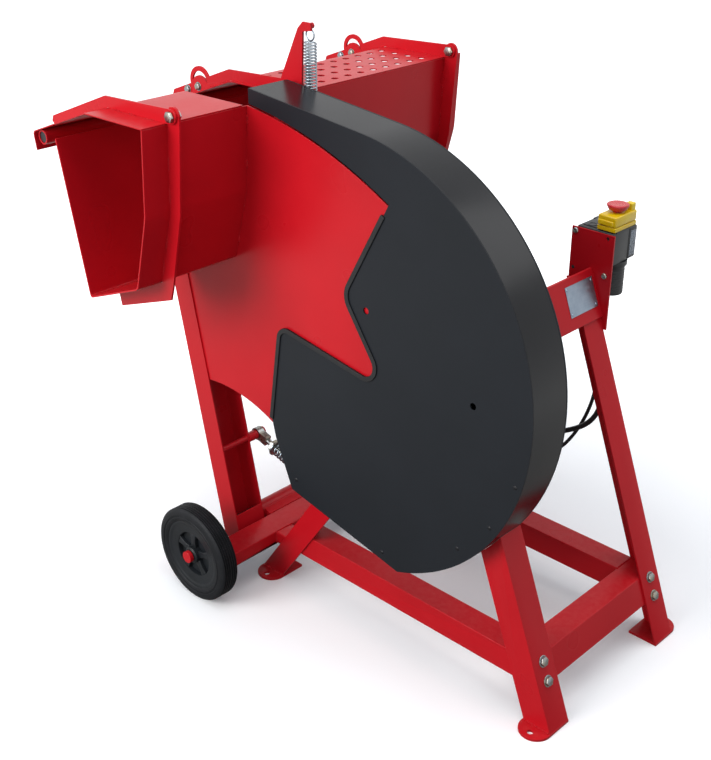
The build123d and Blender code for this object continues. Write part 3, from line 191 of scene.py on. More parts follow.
def two_tone(tree, place, size, detail, band, colours, feeds=None):
    """Two colours in patches of a size in millimetres, blended where a noise lies within the band."""
    patches = add_node(
        tree, "ShaderNodeTexNoise", {}, {"Vector": place, "Scale": 1 / (size * MM), "Detail": detail}
    )
    share = add_node(
        tree,
        "ShaderNodeMapRange",
        {},
        {"Value": patches.outputs["Fac"], "From Min": band[0], "From Max": band[1]},
    )
    return add_node(
        tree,
        "ShaderNodeMix",
        {"data_type": "RGBA"},
        {"Factor": share.outputs[0], 6: colours[0], 7: colours[1]},
        feeds,
    )


def grained(tree, shader, place, grain, detail, rough, relief, depth):
    """Roughness from rough[0] to rough[1] and relief, both from one grain, sized in millimetres."""
    pattern = add_node(
        tree, "ShaderNodeTexNoise", {}, {"Vector": place, "Scale": 1 / (grain * MM), "Detail": detail}
    )
    add_node(
        tree,
        "ShaderNodeMapRange",
        {},
        {
            "Value": pattern.outputs["Fac"],
            "From Min": 0.3,
            "From Max": 0.7,
            "To Min": rough[0],
            "To Max": rough[1],
        },
        {0: shader.inputs["Roughness"]},
    )
    add_node(
        tree,
        "ShaderNodeBump",
        {},
        {"Height": pattern.outputs["Fac"], "Strength": relief, "Distance": depth * MM},
        {0: shader.inputs["Normal"]},
    )


def enamel(name, colour, thin, dust_and_sheen, rough, shine):
    """Sprayed and baked paint: tone drifting with the coat's thickness, dust and painted sky sheen on top
    faces.
    """
    material, tree, shader, place = new_material(name)
    paint = two_tone(tree, place, size=160.0, detail=2.0, band=(0.15, 0.85), colours=(colour, thin))
    # Painted sheen and dust: faces turned up blend towards a paler colour in patches, partly dust, partly
    # painted sky light.
    facing = add_node(tree, "ShaderNodeNewGeometry")
    level = add_node(tree, "ShaderNodeSeparateXYZ", {}, {0: facing.outputs["Normal"]})
    upward = add_node(
        tree, "ShaderNodeMapRange", {}, {"Value": level.outputs["Z"], "From Min": 0.5, "From Max": 1.0}
    )
    grains = add_node(
        tree, "ShaderNodeTexNoise", {}, {"Vector": place, "Scale": 1 / (9.0 * MM), "Detail": 5.0}
    )
    dust_and_sheen_patches = add_node(
        tree,
        "ShaderNodeMapRange",
        {},
        {"Value": grains.outputs["Fac"], "From Min": 0.35, "From Max": 0.75, "To Max": 0.12},
    )
    dust_and_sheen_share = add_node(
        tree,
        "ShaderNodeMath",
        {"operation": "MULTIPLY"},
        {0: upward.outputs[0], 1: dust_and_sheen_patches.outputs[0]},
    )
    add_node(
        tree,
        "ShaderNodeMix",
        {"data_type": "RGBA"},
        {"Factor": dust_and_sheen_share.outputs[0], 6: paint.outputs[2], 7: dust_and_sheen},
        {2: shader.inputs["Base Color"]},
    )
    haze = add_node(
        tree, "ShaderNodeTexNoise", {}, {"Vector": place, "Scale": 1 / (90.0 * MM), "Detail": 1.0}
    )
    add_node(
        tree,
        "ShaderNodeMapRange",
        {},
        {
            "Value": haze.outputs["Fac"],
            "From Min": 0.15,
            "From Max": 0.85,
            "To Min": rough - 0.03,
            "To Max": rough + 0.07,
        },
        {0: shader.inputs["Roughness"]},
    )
    # Orange peel is about 2 mm in life. It is drawn coarser, so that a picture of the whole saw shows it.
    peel = add_node(
        tree, "ShaderNodeTexNoise", {}, {"Vector": place, "Scale": 1 / (14.0 * MM), "Detail": 0.0}
    )
    add_node(
        tree,
        "ShaderNodeBump",
        {},
        {"Height": peel.outputs["Fac"], "Strength": 0.1, "Distance": 0.12 * MM},
        {0: shader.inputs["Normal"]},
    )
    shader.inputs["Specular IOR Level"].default_value = shine
    return material


def plated_steel(name, colour, tint, rough, grain, stretch):
    """Rolled, drawn or ground metal: cloudy in tint, with lines along the way it was worked.

    The lines are a tenth of a millimetre in life. They are drawn as grain millimetres, so that they show.
    """
    material, tree, shader, place = new_material(name)
    target = {2: shader.inputs["Base Color"]}
    two_tone(tree, place, size=14.0, detail=3.0, band=(0.35, 0.7), colours=(colour, tint), feeds=target)
    worked = add_node(tree, "ShaderNodeMapping", {}, {"Vector": place, "Scale": stretch})
    spread = (rough - 0.07, rough + 0.1)
    grained(tree, shader, worked.outputs[0], grain, detail=3.0, rough=spread, relief=0.12, depth=0.05)
    shader.inputs["Metallic"].default_value = 1.0
    return material


def moulded(name, colour, shade, rough, grain, depth, shine):
    """Moulded plastic or rubber: a grain from the mould, in millimetres, and a slight cast in the colour."""
    material, tree, shader, place = new_material(name)
    target = {2: shader.inputs["Base Color"]}
    two_tone(tree, place, size=26.0, detail=4.0, band=(0.38, 0.72), colours=(colour, shade), feeds=target)
    spread = (rough - 0.06, rough + 0.08)
    grained(tree, shader, place, grain, detail=2.0, rough=spread, relief=0.2, depth=depth)
    shader.inputs["Specular IOR Level"].default_value = shine
    return material


def finish(name):
    """The finish of that name, made on first use from the scene's colours."""
    if name in FINISHES:
        return FINISHES[name]
    paints = bpy.context.scene.saw_paints

    def of(key):
        return (*getattr(paints, key), 1.0)

    makers = {
        # Red enamel baked on steel sheet and tube: deep even gloss, darker where the coat runs thin.
        "red_enamel": (
            enamel, "baked_red_enamel",
            # The third colour, a pale pink, is dust and a painted sheen of the sky on top faces.
            of("red"), of("red_thin"), linear("#C9655F"), 0.28, 0.17,
        ),
        # Black powder coat on the guard's plates: a satin face that goes grey where it catches the light.
        "black_enamel": (
            enamel, "satin_black_powder_coat",
            of("black"), linear("#181B1F"), linear("#3A3937"), 0.42, 0.14,
        ),
        # Stove enamel on the guard's rolled rim: near black, with one long soft highlight.
        "black_gloss": (
            enamel, "gloss_black_enamel",
            # The third colour, a bluish grey, is dust and a painted sheen of the sky on top faces.
            linear("#0B0D11"), linear("#0F1116"), linear("#2A2B31"), 0.22, 0.24,
        ),
        # Grey machine enamel on the motor's castings: flat, with dust and a painted sheen on top faces.
        "motor_grey": (
            enamel, "grey_motor_enamel",
            linear("#6A6E72"), linear("#5F6367"), linear("#8C8880"), 0.42, 0.3,
        ),
        # Bright zinc on bolts, nuts and the rod: pale, with a warm tint in patches.
        "zinc": (
            plated_steel, "zinc_plated_steel",
            linear("#8F989F"), linear("#A09B8A"), 0.3, 4.0, (1, 1, 1),
        ),
        # Zinc on drawn spring wire: smoother and bluer than the bolts, with darker patches.
        "spring_steel": (
            plated_steel, "zinc_plated_spring_wire",
            linear("#98A1A9"), linear("#7E878F"), 0.26, 3.0, (1, 1, 1),
        ),
        # Ground tool steel of the blade and arbor: grinding lines across a dull shine.
        "blade_steel": (
            plated_steel, "ground_blade_steel",
            linear("#878B8F"), linear("#828589"), 0.3, 3.0, (0.03, 1, 1),
        ),
        # Stacked core sheets and bearing rings inside the motor: dark, oily and finely ribbed.
        "core_steel": (
            plated_steel, "laminated_core_steel",
            linear("#5B5C5F"), linear("#4C463F"), 0.5, 1.0, (0.1, 1, 0.1),
        ),
        # Rolled aluminium of the blank rating plate: pale silver, brushed along its length.
        "aluminium": (
            plated_steel, "rolled_aluminium_plate",
            linear("#8F9BA9"), linear("#83909F"), 0.36, 3.0, (1, 0.06, 1),
        ),
        # Solid tyre rubber: matt black with a greyer cast in patches.
        "tyre": (
            moulded, "solid_tyre_rubber",
            linear("#0F1114"), linear("#191A1E"), 0.55, 1.6, 0.15, 0.2,
        ),
        # Extruded edge strip along the guard's notch: dull black with a soft sheen on its bead.
        "edge_rubber": (
            moulded, "edge_strip_rubber",
            linear("#0F0F11"), linear("#1C1C1F"), 0.5, 1.2, 0.1, 0.3,
        ),
        # Rubber sheath of the leads: smooth matt black.
        "lead": (
            moulded, "lead_sheath_rubber",
            linear("#121214"), linear("#1A1A1D"), 0.48, 1.0, 0.05, 0.3,
        ),
        # Glass-filled nylon of the boxes, inlet and caps: black with a fine spark-eroded grain.
        "black_plastic": (
            moulded, "black_glass_filled_nylon",
            linear("#232527"), linear("#1B1D1F"), 0.42, 1.0, 0.1, 0.4,
        ),
        # Polypropylene of the wheel hubs: dark grey, waxy, softly lit inside the spokes.
        "hub_plastic": (
            moulded, "dark_grey_polypropylene",
            linear("#191C20"), linear("#141719"), 0.44, 1.2, 0.1, 0.25,
        ),
        # Yellow cover of the stop switch: clean gloss plastic, a shade deeper in patches.
        "yellow_plastic": (
            moulded, "yellow_abs",
            of("yellow"), linear("#D3A906"), 0.3, 1.2, 0.05, 0.5,
        ),
        # Red mushroom button: gloss plastic, polished by hands.
        "red_plastic": (
            moulded, "red_abs",
            linear("#C4202B"), linear("#B3141F"), 0.25, 1.2, 0.04, 0.5,
        ),
        # Green start button under the flap: gloss plastic.
        "green_plastic": (
            moulded, "green_abs",
            linear("#15803D"), linear("#0F6B31"), 0.3, 1.2, 0.04, 0.5,
        ),
        # Blank grey panel on the switch box's side: smooth plastic film, a little cloudy.
        "grey_plastic": (
            moulded, "grey_panel_film",
            linear("#B4BCC6"), linear("#A6AFBA"), 0.22, 1.5, 0.03, 0.5,
        ),
    }
    maker, *values = makers[name]
    FINISHES[name] = maker(*values)
    return FINISHES[name]


# Mesh helpers
def to_piece(name, bm, material, body, nodes=(), smooth=40.0):
    """Makes the bmesh a piece at the origin that rides a body and stands for CAD nodes."""
    mesh = bpy.data.meshes.new(name)
    bm.to_mesh(mesh)
    bm.free()
    mesh.shade_smooth()
    mesh.set_sharp_from_angle(angle=math.radians(smooth))
    piece = bpy.data.objects.new(name, mesh)
    bpy.context.scene.collection.objects.link(piece)
    mesh.materials.append(finish(material))
    if body:
        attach(piece, body)
    if nodes:
        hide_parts(*nodes)
    return piece


def merged_copy(node):
    """A bmesh copy of a CAD node with its triangles joined and its flats dissolved."""
    bm = bmesh.new()
    bm.from_mesh(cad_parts[node].data)
    bmesh.ops.remove_doubles(bm, verts=bm.verts, dist=2e-6)
    bmesh.ops.dissolve_limit(
        bm, angle_limit=math.radians(0.6), verts=bm.verts, edges=bm.edges, delimit={"SEAM"}
    )
    return bm


def round_bends(bm, radius_mm):
    """Rounds a folded sheet's long bends, which run along Y between two broad faces."""
    bends = []
    for edge in bm.edges:
        run = edge.verts[1].co - edge.verts[0].co
        if len(edge.link_faces) != 2 or run.length < 0.15 or abs(run.normalized().y) < 0.999:
            continue
        if min(face.calc_area() for face in edge.link_faces) < 0.15 * 0.02:
            continue
        if edge.calc_face_angle(0.0) > math.radians(6):
            bends.append(edge)
    bmesh.ops.bevel(
        bm,
        geom=bends,
        offset=radius_mm * MM,
        offset_type="OFFSET",
        affect="EDGES",
        segments=4,
        profile=0.5,
        material=-1,
        clamp_overlap=True,
    )


def rolled_edges(piece, width_mm, segments=2):
    """Breaks a piece's sharp edges, as deburred and painted steel has them."""
    edge = piece.modifiers.new("broken_edges", "BEVEL")
    edge.width = width_mm * MM
    edge.segments = segments
    edge.limit_method = "ANGLE"
    edge.angle_limit = math.radians(40)
    edge.miter_outer = "MITER_ARC"
    edge.harden_normals = True
    return piece


def dressed(node, body, material, width_mm, bends_mm=0.0):
    """A CAD node's finished copy, with broken edges and rounded bends."""
    bm = merged_copy(node)
    if bends_mm:
        round_bends(bm, bends_mm)
    piece = to_piece(f"{node}_finished", bm, material, body, (node,))
    return rolled_edges(piece, width_mm)


def keep_node(node, material):
    """Leaves a CAD node showing, in a better material."""
    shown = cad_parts[node]
    shown.data.materials.clear()
    shown.data.materials.append(finish(material))


def aim(point, direction):
    """A matrix whose origin is a point in millimetres and whose Z axis is direction."""
    turn = Vector(direction).to_track_quat("Z", "Y").to_matrix().to_4x4()
    return Matrix.Translation(Vector(point) * MM) @ turn


def lathe(bm, profile, place, steps=48):
    """Spins a profile of (radius, height) millimetres about the Z axis of place."""
    made = [bm.verts.new((radius * MM, 0, height * MM)) for radius, height in profile]
    line = [bm.edges.new(pair) for pair in zip(made[:-1], made[1:])]
    bmesh.ops.spin(
        bm,
        geom=made + line,
        cent=(0, 0, 0),
        axis=(0, 0, 1),
        angle=2 * math.pi,
        steps=steps,
        use_merge=True,
    )
    # All that was spun from the profile, found by walking along its edges
    island = list(made)
    seen = set(island)
    while island:
        for edge in island.pop().link_edges:
            for vert in edge.verts:
                if vert not in seen:
                    seen.add(vert)
                    island.append(vert)
    bmesh.ops.remove_doubles(bm, verts=list(seen), dist=1e-6)
    live = [v for v in seen if v.is_valid]
    bmesh.ops.recalc_face_normals(bm, faces=list({f for v in live for f in v.link_faces}))
    bmesh.ops.transform(bm, matrix=place, verts=live)
    return live


def prism(bm, outline, place, height_mm):
    """A plate of an outline in millimetres, on the XY plane of place, height_mm thick."""
    base = bm.faces.new([bm.verts.new((x * MM, y * MM, 0)) for x, y in outline])
    raised = bmesh.ops.extrude_face_region(bm, geom=[base])
    top = [v for v in raised["geom"] if isinstance(v, bmesh.types.BMVert)]
    bmesh.ops.translate(bm, verts=top, vec=(0, 0, height_mm * MM))
    verts = list(base.verts) + top
    bmesh.ops.recalc_face_normals(bm, faces=list({f for v in verts for f in v.link_faces}))
    bmesh.ops.transform(bm, matrix=place, verts=verts)
    return verts


def box(bm, low, high, soften_mm=0.0):
    """A block between two corners in millimetres, with softened edges."""
    size = [h - l for l, h in zip(low, high)]
    middle = [(h + l) / 2 for l, h in zip(low, high)]
    place = Matrix.Translation(Vector(middle) * MM) @ Matrix.Diagonal([*(s * MM for s in size), 1])
    made = bmesh.ops.create_cube(bm, size=1.0, matrix=place)["verts"]
    if soften_mm:
        break_edges(bm, made, soften_mm, segments=3)
    return made


def break_edges(bm, verts, width_mm, segments, least=30.0):
    """Bevels the sharp edges among some vertices."""
    inside = set(verts)
    sharp = [
        e
        for e in {e for v in verts for e in v.link_edges}
        if e.verts[0] in inside
        and e.verts[1] in inside
        and len(e.link_faces) == 2
        and e.calc_face_angle(0.0) > math.radians(least)
    ]
    bmesh.ops.bevel(
        bm,
        geom=sharp,
        offset=width_mm * MM,
        offset_type="OFFSET",
        affect="EDGES",
        segments=segments,
        profile=0.5,
        material=-1,
        clamp_overlap=True,
    )


def hexagon(radius):
    """Corners of a hexagon."""
    return [(radius * math.cos(math.pi * i / 3), radius * math.sin(math.pi * i / 3)) for i in range(6)]


def hex_head(bm, seat, direction, radius, height, washer_radius=0.0, washer_height=0.0):
    """A hexagon head with a broken rim, on a round washer where one is given."""
    place = aim(seat, direction)
    if washer_radius:
        edge = min(0.4, washer_height / 3)
        lathe(
            bm,
            (
                (0.0, 0.0),
                (washer_radius, 0.0),
                (washer_radius, washer_height - edge),
                (washer_radius - edge, washer_height),
                (0.0, washer_height),
            ),
            place,
            steps=28,
        )
    head = prism(
        bm, hexagon(radius), place @ Matrix.Translation((0, 0, washer_height * MM)), height - washer_height
    )
    break_edges(bm, head, width_mm=0.8, segments=2, least=50.0)


def bead(bm, start, end, radius=2.4, pitch=3.0):
    """A weld bead: overlapping flattened scales from start to end, in millimetres."""
    first, last = Vector(start), Vector(end)
    run = last - first
    count = max(1, round(run.length / pitch))
    turn = run.to_track_quat("Z", "Y").to_matrix().to_4x4()
    for i in range(count + 1):
        # Hand-laid scales differ a little in size
        swell = radius * (1 + 0.16 * math.sin(2.4 * i + first.x * 0.37))
        place = (
            Matrix.Translation((first + run * (i / count)) * MM)
            @ turn
            @ Matrix.Diagonal((swell * MM, swell * MM, radius * 0.95 * MM, 1))
        )
        bmesh.ops.create_icosphere(bm, subdivisions=1, radius=1.0, matrix=place)


def stitches(bm, start, end, length, gap, radius=2.2):
    """Short beads along a seam, with gaps between them."""
    first, last = Vector(start), Vector(end)
    run = last - first
    way = run.normalized()
    at = gap / 2
    while at + length <= run.length:
        bead(bm, first + way * at, first + way * (at + length), radius)
        at += length + gap


def pan_head(bm, seat, direction, radius, height):
    """A pan head with a round socket."""
    profile = (
        (0.0, 0.0),
        (radius, 0.0),
        (radius, height * 0.45),
        (radius * 0.85, height * 0.85),
        (radius * 0.6, height),
        (radius * 0.42, height),
        (radius * 0.38, height * 0.35),
        (0.0, height * 0.35),
    )
    lathe(bm, profile, aim(seat, direction), steps=24)


def gland(bm, seat, direction, grip):
    """A cable gland: a hexagon nut and a domed cap, bored for a lead of radius grip."""
    place = aim(seat, direction)
    nut = prism(bm, hexagon(grip + 5.6), place, 6.0)
    break_edges(bm, nut, width_mm=0.7, segments=2, least=50.0)
    bore, wall = grip + 0.3, grip + 2.6
    profile = [(bore, 5.0), (wall, 5.0), (wall, 11.5), (grip + 2.2, 13.6), (grip + 1.3, 15.2)]
    profile += [(grip + 0.5, 16.0), (bore, 15.6), (bore, 5.0)]
    lathe(bm, profile, place, steps=28)


def coil(bm, start, axis, side, radius, wire, pitch, turns, steps=20):
    """Spins a round wire section along a helix, in millimetres."""
    section = bmesh.ops.create_circle(
        bm,
        cap_ends=False,
        segments=10,
        radius=wire * MM,
        matrix=aim(start + side * radius, axis.cross(side)),
    )["verts"]
    loop = [e for e in bm.edges if e.verts[0] in section and e.verts[1] in section]
    bmesh.ops.spin(
        bm,
        geom=section + loop,
        cent=start * MM,
        axis=axis,
        dvec=axis * (pitch * MM / steps),
        angle=2 * math.pi * turns,
        steps=int(steps * turns),
        use_merge=False,
    )
    bmesh.ops.holes_fill(bm, edges=[e for e in bm.edges if e.is_boundary], sides=0)
    bmesh.ops.recalc_face_normals(bm, faces=bm.faces)


def wire_eye(bm, centre, axis, radius, wire, sides=10):
    """A closed eye of wire round an axis."""
    profile = []
    for i in range(sides + 1):
        turn = 2 * math.pi * i / sides
        profile.append((radius + wire * math.cos(turn), wire * math.sin(turn)))
    lathe(bm, profile, aim(centre, axis), steps=32)


class SawPaints(bpy.types.PropertyGroup):
    """Colours of the saw's painted and moulded pieces."""

    red: bpy.props.FloatVectorProperty(
        name="Red enamel",
        description="Main colour of the frame, cradle and cover",
        subtype="COLOR",
        size=3,
        min=0.0,
        max=1.0,
        default=linear("#C0141F")[:3],
    )
    red_thin: bpy.props.FloatVectorProperty(
        name="Red enamel, thin",
        description="The red where the coat is thinner",
        subtype="COLOR",
        size=3,
        min=0.0,
        max=1.0,
        default=linear("#B0111B")[:3],
    )
    black: bpy.props.FloatVectorProperty(
        name="Black enamel",
        description="Colour of the blade guard's faces",
        subtype="COLOR",
        size=3,
        min=0.0,
        max=1.0,
        default=linear("#1D2025")[:3],
    )
    yellow: bpy.props.FloatVectorProperty(
        name="Yellow cover",
        description="Colour of the stop switch's cover",
        subtype="COLOR",
        size=3,
        min=0.0,
        max=1.0,
        default=linear("#DFBF0A")[:3],
    )


class SawSizes(bpy.types.PropertyGroup):
    """Sizes of the saw's finish."""

    sheet_edge: bpy.props.FloatProperty(
        name="Sheet edge",
        description="Radius broken on sheet edges",
        unit="LENGTH",
        precision=4,
        default=0.8 * MM,
        min=0.1 * MM,
        max=2.0 * MM,
    )
    tube_edge: bpy.props.FloatProperty(
        name="Tube edge",
        description="Corner radius of the box tubes",
        unit="LENGTH",
        precision=4,
        default=2.4 * MM,
        min=0.5 * MM,
        max=6.0 * MM,
    )
    bend: bpy.props.FloatProperty(
        name="Sheet bend",
        description="Outer radius of the trough's and cover's bends",
        unit="LENGTH",
        precision=4,
        default=7.0 * MM,
        min=1.0 * MM,
        max=20.0 * MM,
    )
    weld: bpy.props.FloatProperty(
        name="Weld bead",
        description="Radius of a weld bead",
        unit="LENGTH",
        precision=4,
        default=2.4 * MM,
        min=0.5 * MM,
        max=5.0 * MM,
    )


class SAW_OT_base(bpy.types.Operator):
    """Finishes the welded base: legs, beams, rail, axle beam and motor plate"""

    bl_idname = "saw.base"
    bl_label = "Welded base"

    def execute(self, context):
        sizes = context.scene.saw_sizes
        for node in ("leg_front_right", "leg_front_left", "leg_back_right", "leg_back_left"):
            dressed(node, "frame", "red_enamel", width_mm=1.4)
        for node in ("cross_beams", "axle_beam"):
            dressed(node, "frame", "red_enamel", sizes.tube_edge / MM)
        for node in ("top_rail", "pivot_tube", "motor_plate", "switch_plate", "axle_caps"):
            dressed(node, "frame", "red_enamel", sizes.sheet_edge / MM)
        dressed("rating_plate", "frame", "aluminium", width_mm=0.3)
        bm = bmesh.new()
        rivet = ((0.0, 1.2), (1.4, 1.0), (2.4, 0.3), (2.5, 0.0), (0.0, 0.0))
        plate_face = 6.0
        for y in (111.0, 183.0):
            for z in (621.0, 663.0):
                seat = (right_web(z) + plate_face, y, z)
                lathe(bm, rivet, aim(seat, (1, 0, LEAN_RIGHT)), steps=16)
        to_piece("rating_plate_rivets", bm, "aluminium", "frame")
        return {"FINISHED"}


class SAW_OT_welds(bpy.types.Operator):
    """Lays the weld beads of the base, the cradle and the cover"""

    bl_idname = "saw.welds"
    bl_label = "Weld beads"

    def execute(self, context):
        self.base_welds(context.scene.saw_sizes.weld / MM)
        self.cradle_welds()
        self.cover_welds()
        return {"FINISHED"}

    def base_welds(self, radius):
        bm = bmesh.new()
        for side in (-1, 1):
            y = side * FOOT_Y
            for sx, lean in ((1, LEAN_RIGHT), (-1, LEAN_LEFT)):
                base = sx * (FOOT_X - lean * 5.0)
                bead(bm, (base - sx * LEG_SHEET, y, 6.0), (base - sx * LEG_FLANGE, y, 6.0), radius)
            near = side * (FOOT_Y - 2 * LEG_SHEET)
            far = side * (FOOT_Y - LEG_WEB)
            left = left_web(BEAM_LOW) + LEG_SHEET, left_web(BEAM_HIGH) + LEG_SHEET
            right = SIDE_BEAM - LEAN_RIGHT * BEAM_LOW, SIDE_BEAM - LEAN_RIGHT * BEAM_HIGH
            for low, high in (left, right):
                bead(bm, (high, near, BEAM_HIGH), (high, far, BEAM_HIGH), radius)
                bead(bm, (low, far, BEAM_LOW + 2), (high, far, BEAM_HIGH - 2), radius)
            first, last = sorted((side * (FOOT_Y - 6), side * (FOOT_Y - LEG_WEB + 6)))
            for x in (left_web(AXLE_BEAM_HIGH), AXLE_BEAM_RIGHT):
                bead(bm, (x, first, AXLE_BEAM_HIGH), (x, last, AXLE_BEAM_HIGH), radius)
        saddle = AXLE_BEAM_HIGH - 0.4
        bead(bm, (AXLE[0], -148.0, saddle), (AXLE[0], 148.0, saddle), radius * 0.9)
        rail_end = [(right_web(z) + 5, RAIL_FRONT, z) for z in (RAIL_LOW, RAIL_HIGH)]
        bead(bm, *rail_end, radius)
        plate_seam = [(right_web(z) - 8, SWITCH_Y, z) for z in (575.0, 676.0)]
        stitches(bm, *plate_seam, length=22, gap=14, radius=2.0)
        to_piece("base_weld_beads", bm, "red_enamel", "frame")

    def cradle_welds(self):
        bm = bmesh.new()
        for rib in (RIBS[0], RIBS[2]):
            for y in (rib, rib + RIB_SHEET):
                for start, end in zip(TROUGH[2:-1], TROUGH[3:]):
                    seam = [(x + 0.6, y, z) for x, z in (start, end)]
                    stitches(bm, *seam, length=22, gap=34, radius=2.0)
                stitches(bm, (-490, y, 641.0), (-372, y, 687.0), length=22, gap=30, radius=2.0)
        for x, z in ((-319.6, 950.0), (-324.34, 872.0), (-336.49, 800.0), (-354.12, 730.0)):
            for y in SLOT:
                bead(bm, (x, y, z - 5), (x, y, z + 5), radius=2.6)
        post_low, post_high, post_top = 640.0, 756.0, 760.0
        for y in (160.0, 231.0, -231.0):
            seam = [(post_face(z), y, z) for z in (post_low, post_high)]
            stitches(bm, *seam, length=26, gap=14, radius=2.4)
        bead(bm, (post_face(post_top), 163.0, post_top), (post_face(post_top), 228.0, post_top), radius=2.4)
        to_piece("cradle_weld_beads", bm, "red_enamel", "cradle")

    def cover_welds(self):
        bm = bmesh.new()
        for rib in RIBS:
            arm_back = rib - ARM_GAP
            # The middle arm is welded along its front face only
            for y in (arm_back - ARM_SHEET, arm_back)[:1 if rib == RIBS[1] else 2]:
                stitches(bm, (-335.0, y, 975.5), (-470.0, y, 974.1), length=20, gap=26, radius=1.8)
                stitches(bm, (-478.0, y, 973.0), (-545.0, y, 947.6), length=20, gap=12, radius=1.8)
        to_piece("cover_weld_beads", bm, "red_enamel", "cover")


class SAW_OT_fasteners(bpy.types.Operator):
    """Sets the zinc bolts, nuts and screws"""

    bl_idname = "saw.fasteners"
    bl_label = "Bolts and screws"

    def execute(self, context):
        bm = bmesh.new()
        web_bolt = {"radius": 9.0, "height": 6.0, "washer_radius": 10.5, "washer_height": 1.6}
        for y in (-168.0, 168.0):
            for z in (BEAM_LOW + 8.0, BEAM_HIGH - 7.0):
                hex_head(bm, (right_web(z), y, z), (1, 0, LEAN_RIGHT), **web_bolt)
        to_piece("web_bolt_heads", bm, "zinc", "frame", ("web_bolts",))

        bm = bmesh.new()
        rivet = ((0, 1.5), (2.2, 1.3), (3.5, 0.7), (4.0, 0.0), (0, 0))
        for angle, inset in RIVETS:
            reach = GUARD_RADIUS - inset
            x = GUARD[0] + reach * math.cos(math.radians(angle))
            z = GUARD[1] + reach * math.sin(math.radians(angle))
            lathe(bm, rivet, aim((x, GUARD_FRONT, z), (0, -1, 0)), steps=18)
        to_piece("guard_rivet_heads", bm, "black_gloss", "frame")

        bm = bmesh.new()
        for x, z in zip(HOLES_X, reversed(HOLES_Z)):
            pan_head(bm, (x, SWITCH_Y, z), (0, -1, 0), radius=5.5, height=3.0)
        to_piece("panel_screw_heads", bm, "zinc", "frame", ("panel_screws",))

        bm = bmesh.new()
        for rib in RIBS:
            head = rib - ARM_GAP - ARM_SHEET - 0.5
            length = rib + 12.0 - head
            shank = ((0, 0), (5, 0), (5, length - 1), (4, length), (0, length))
            seat = (HINGE[0], head, HINGE[1])
            lathe(bm, shank, aim(seat, (0, 1, 0)), steps=24)
            hex_head(bm, seat, (0, -1, 0), radius=9.5, height=6.0)
            hex_head(bm, (HINGE[0], rib + RIB_SHEET, HINGE[1]), (0, 1, 0), radius=9.5, height=7.0)
        to_piece("hinge_bolt_heads", bm, "zinc", "cradle", ("hinge_bolts",))

        bm = bmesh.new()
        shank = ((0, 0), (4, 0), (4, 13.4), (3.3, 14.0), (0, 14.0))
        grip_bolt = {"radius": 7.0, "height": 4.5, "washer_radius": 8.4, "washer_height": 1.0}
        for rib in RIBS[1:]:
            low = rib - ARM_GAP - ARM_SHEET
            high = low + 2 * ARM_SHEET
            for x, z in GRIPS:
                lathe(bm, shank, aim((x, low, z), (0, 1, 0)), steps=20)
                hex_head(bm, (x, low, z), (0, -1, 0), **grip_bolt)
                hex_head(bm, (x, high, z), (0, 1, 0), radius=7.0, height=5.0)
        to_piece("grip_bolt_heads", bm, "zinc", "cover", ("grip_bolts",))
        return {"FINISHED"}


class SAW_OT_wheels(bpy.types.Operator):
    """Turns the ribbed tyres and moulds their five-spoke hubs"""

    bl_idname = "saw.wheels"
    bl_label = "Transport wheels"

    def execute(self, context):
        for body, node, side in (("wheel_front", "front", -1), ("wheel_back", "back", 1)):
            place = aim((AXLE[0], side * WHEEL_INNER, AXLE[1]), (0, side, 0))
            bm = bmesh.new()
            profile = [(72.0, 4.0), (74.0, 2.2), (79.0, 1.2), (80.0, 2.2), (83.0, 2.4), (84.0, 1.0)]
            profile += [(90.0, 1.2), (94.5, 2.6), (97.0, 4.6)]
            for at in (8.0, 13.0, 18.0, 24.0, 29.0, 34.0):
                profile += [(98.0, at - 1.6), (96.0, at - 1.0), (96.0, at + 1.0), (98.0, at + 1.6)]
            profile += [(97.0, 37.4), (94.5, 39.4), (90.0, 40.8), (84.0, 41.0), (83.0, 39.6), (80.0, 39.8)]
            profile += [(79.0, 40.8), (74.0, 39.8), (72.0, 38.0), (72.0, 4.0)]
            lathe(bm, profile, place, steps=96)
            to_piece(f"tyre_{node}_rubber", bm, "tyre", body, (f"tyre_{node}",))

            bm = bmesh.new()
            dish = [(72.0, 4.0), (72.0, 38.0), (68.0, 38.0), (66.0, 36.6), (62.0, 35.4), (50.0, 34.6)]
            dish += [(46.5, 33.6), (46.0, 32.0), (45.0, 25.0), (16.0, 25.0), (16.0, 17.0), (45.0, 17.0)]
            dish += [(46.0, 10.0), (46.5, 8.4), (50.0, 7.4), (62.0, 6.6), (66.0, 5.4), (68.0, 4.0)]
            dish += [(72.0, 4.0)]
            lathe(bm, dish, place, steps=80)
            boss = [(8.05, 0.4), (14.0, 0.4), (17.0, 3.0), (18.0, 12.0), (18.0, 30.0), (17.0, 39.0)]
            boss += [(14.0, 41.6), (8.05, 41.6), (8.05, 0.4)]
            lathe(bm, boss, place, steps=48)
            outline = ((15, -7.5), (30, -5.5), (46.5, -8.5), (46.5, 8.5), (30, 5.5), (15, 7.5))
            for i in range(5):
                turn = place @ Matrix.Rotation(math.radians(72 * i + 18), 4, "Z")
                spoke = prism(bm, outline, turn @ Matrix.Translation((0, 0, 9 * MM)), 24.0)
                break_edges(bm, spoke, width_mm=1.6, segments=3)
            to_piece(f"hub_{node}_moulding", bm, "hub_plastic", body, (f"hub_{node}",))
        keep_node("wheel_axles", "zinc")
        return {"FINISHED"}


class SAW_OT_guard(bpy.types.Operator):
    """Finishes the blade guard's plates, rim and edge strip"""

    bl_idname = "saw.guard"
    bl_label = "Blade guard"

    def execute(self, context):
        dressed("guard_front_plate", "frame", "black_enamel", width_mm=0.9)
        dressed("guard_rim", "frame", "black_gloss", width_mm=0.5)
        dressed("guard_back_plate", "frame", "black_enamel", width_mm=0.9)
        dressed("guard_trim", "frame", "edge_rubber", width_mm=1.2)
        return {"FINISHED"}


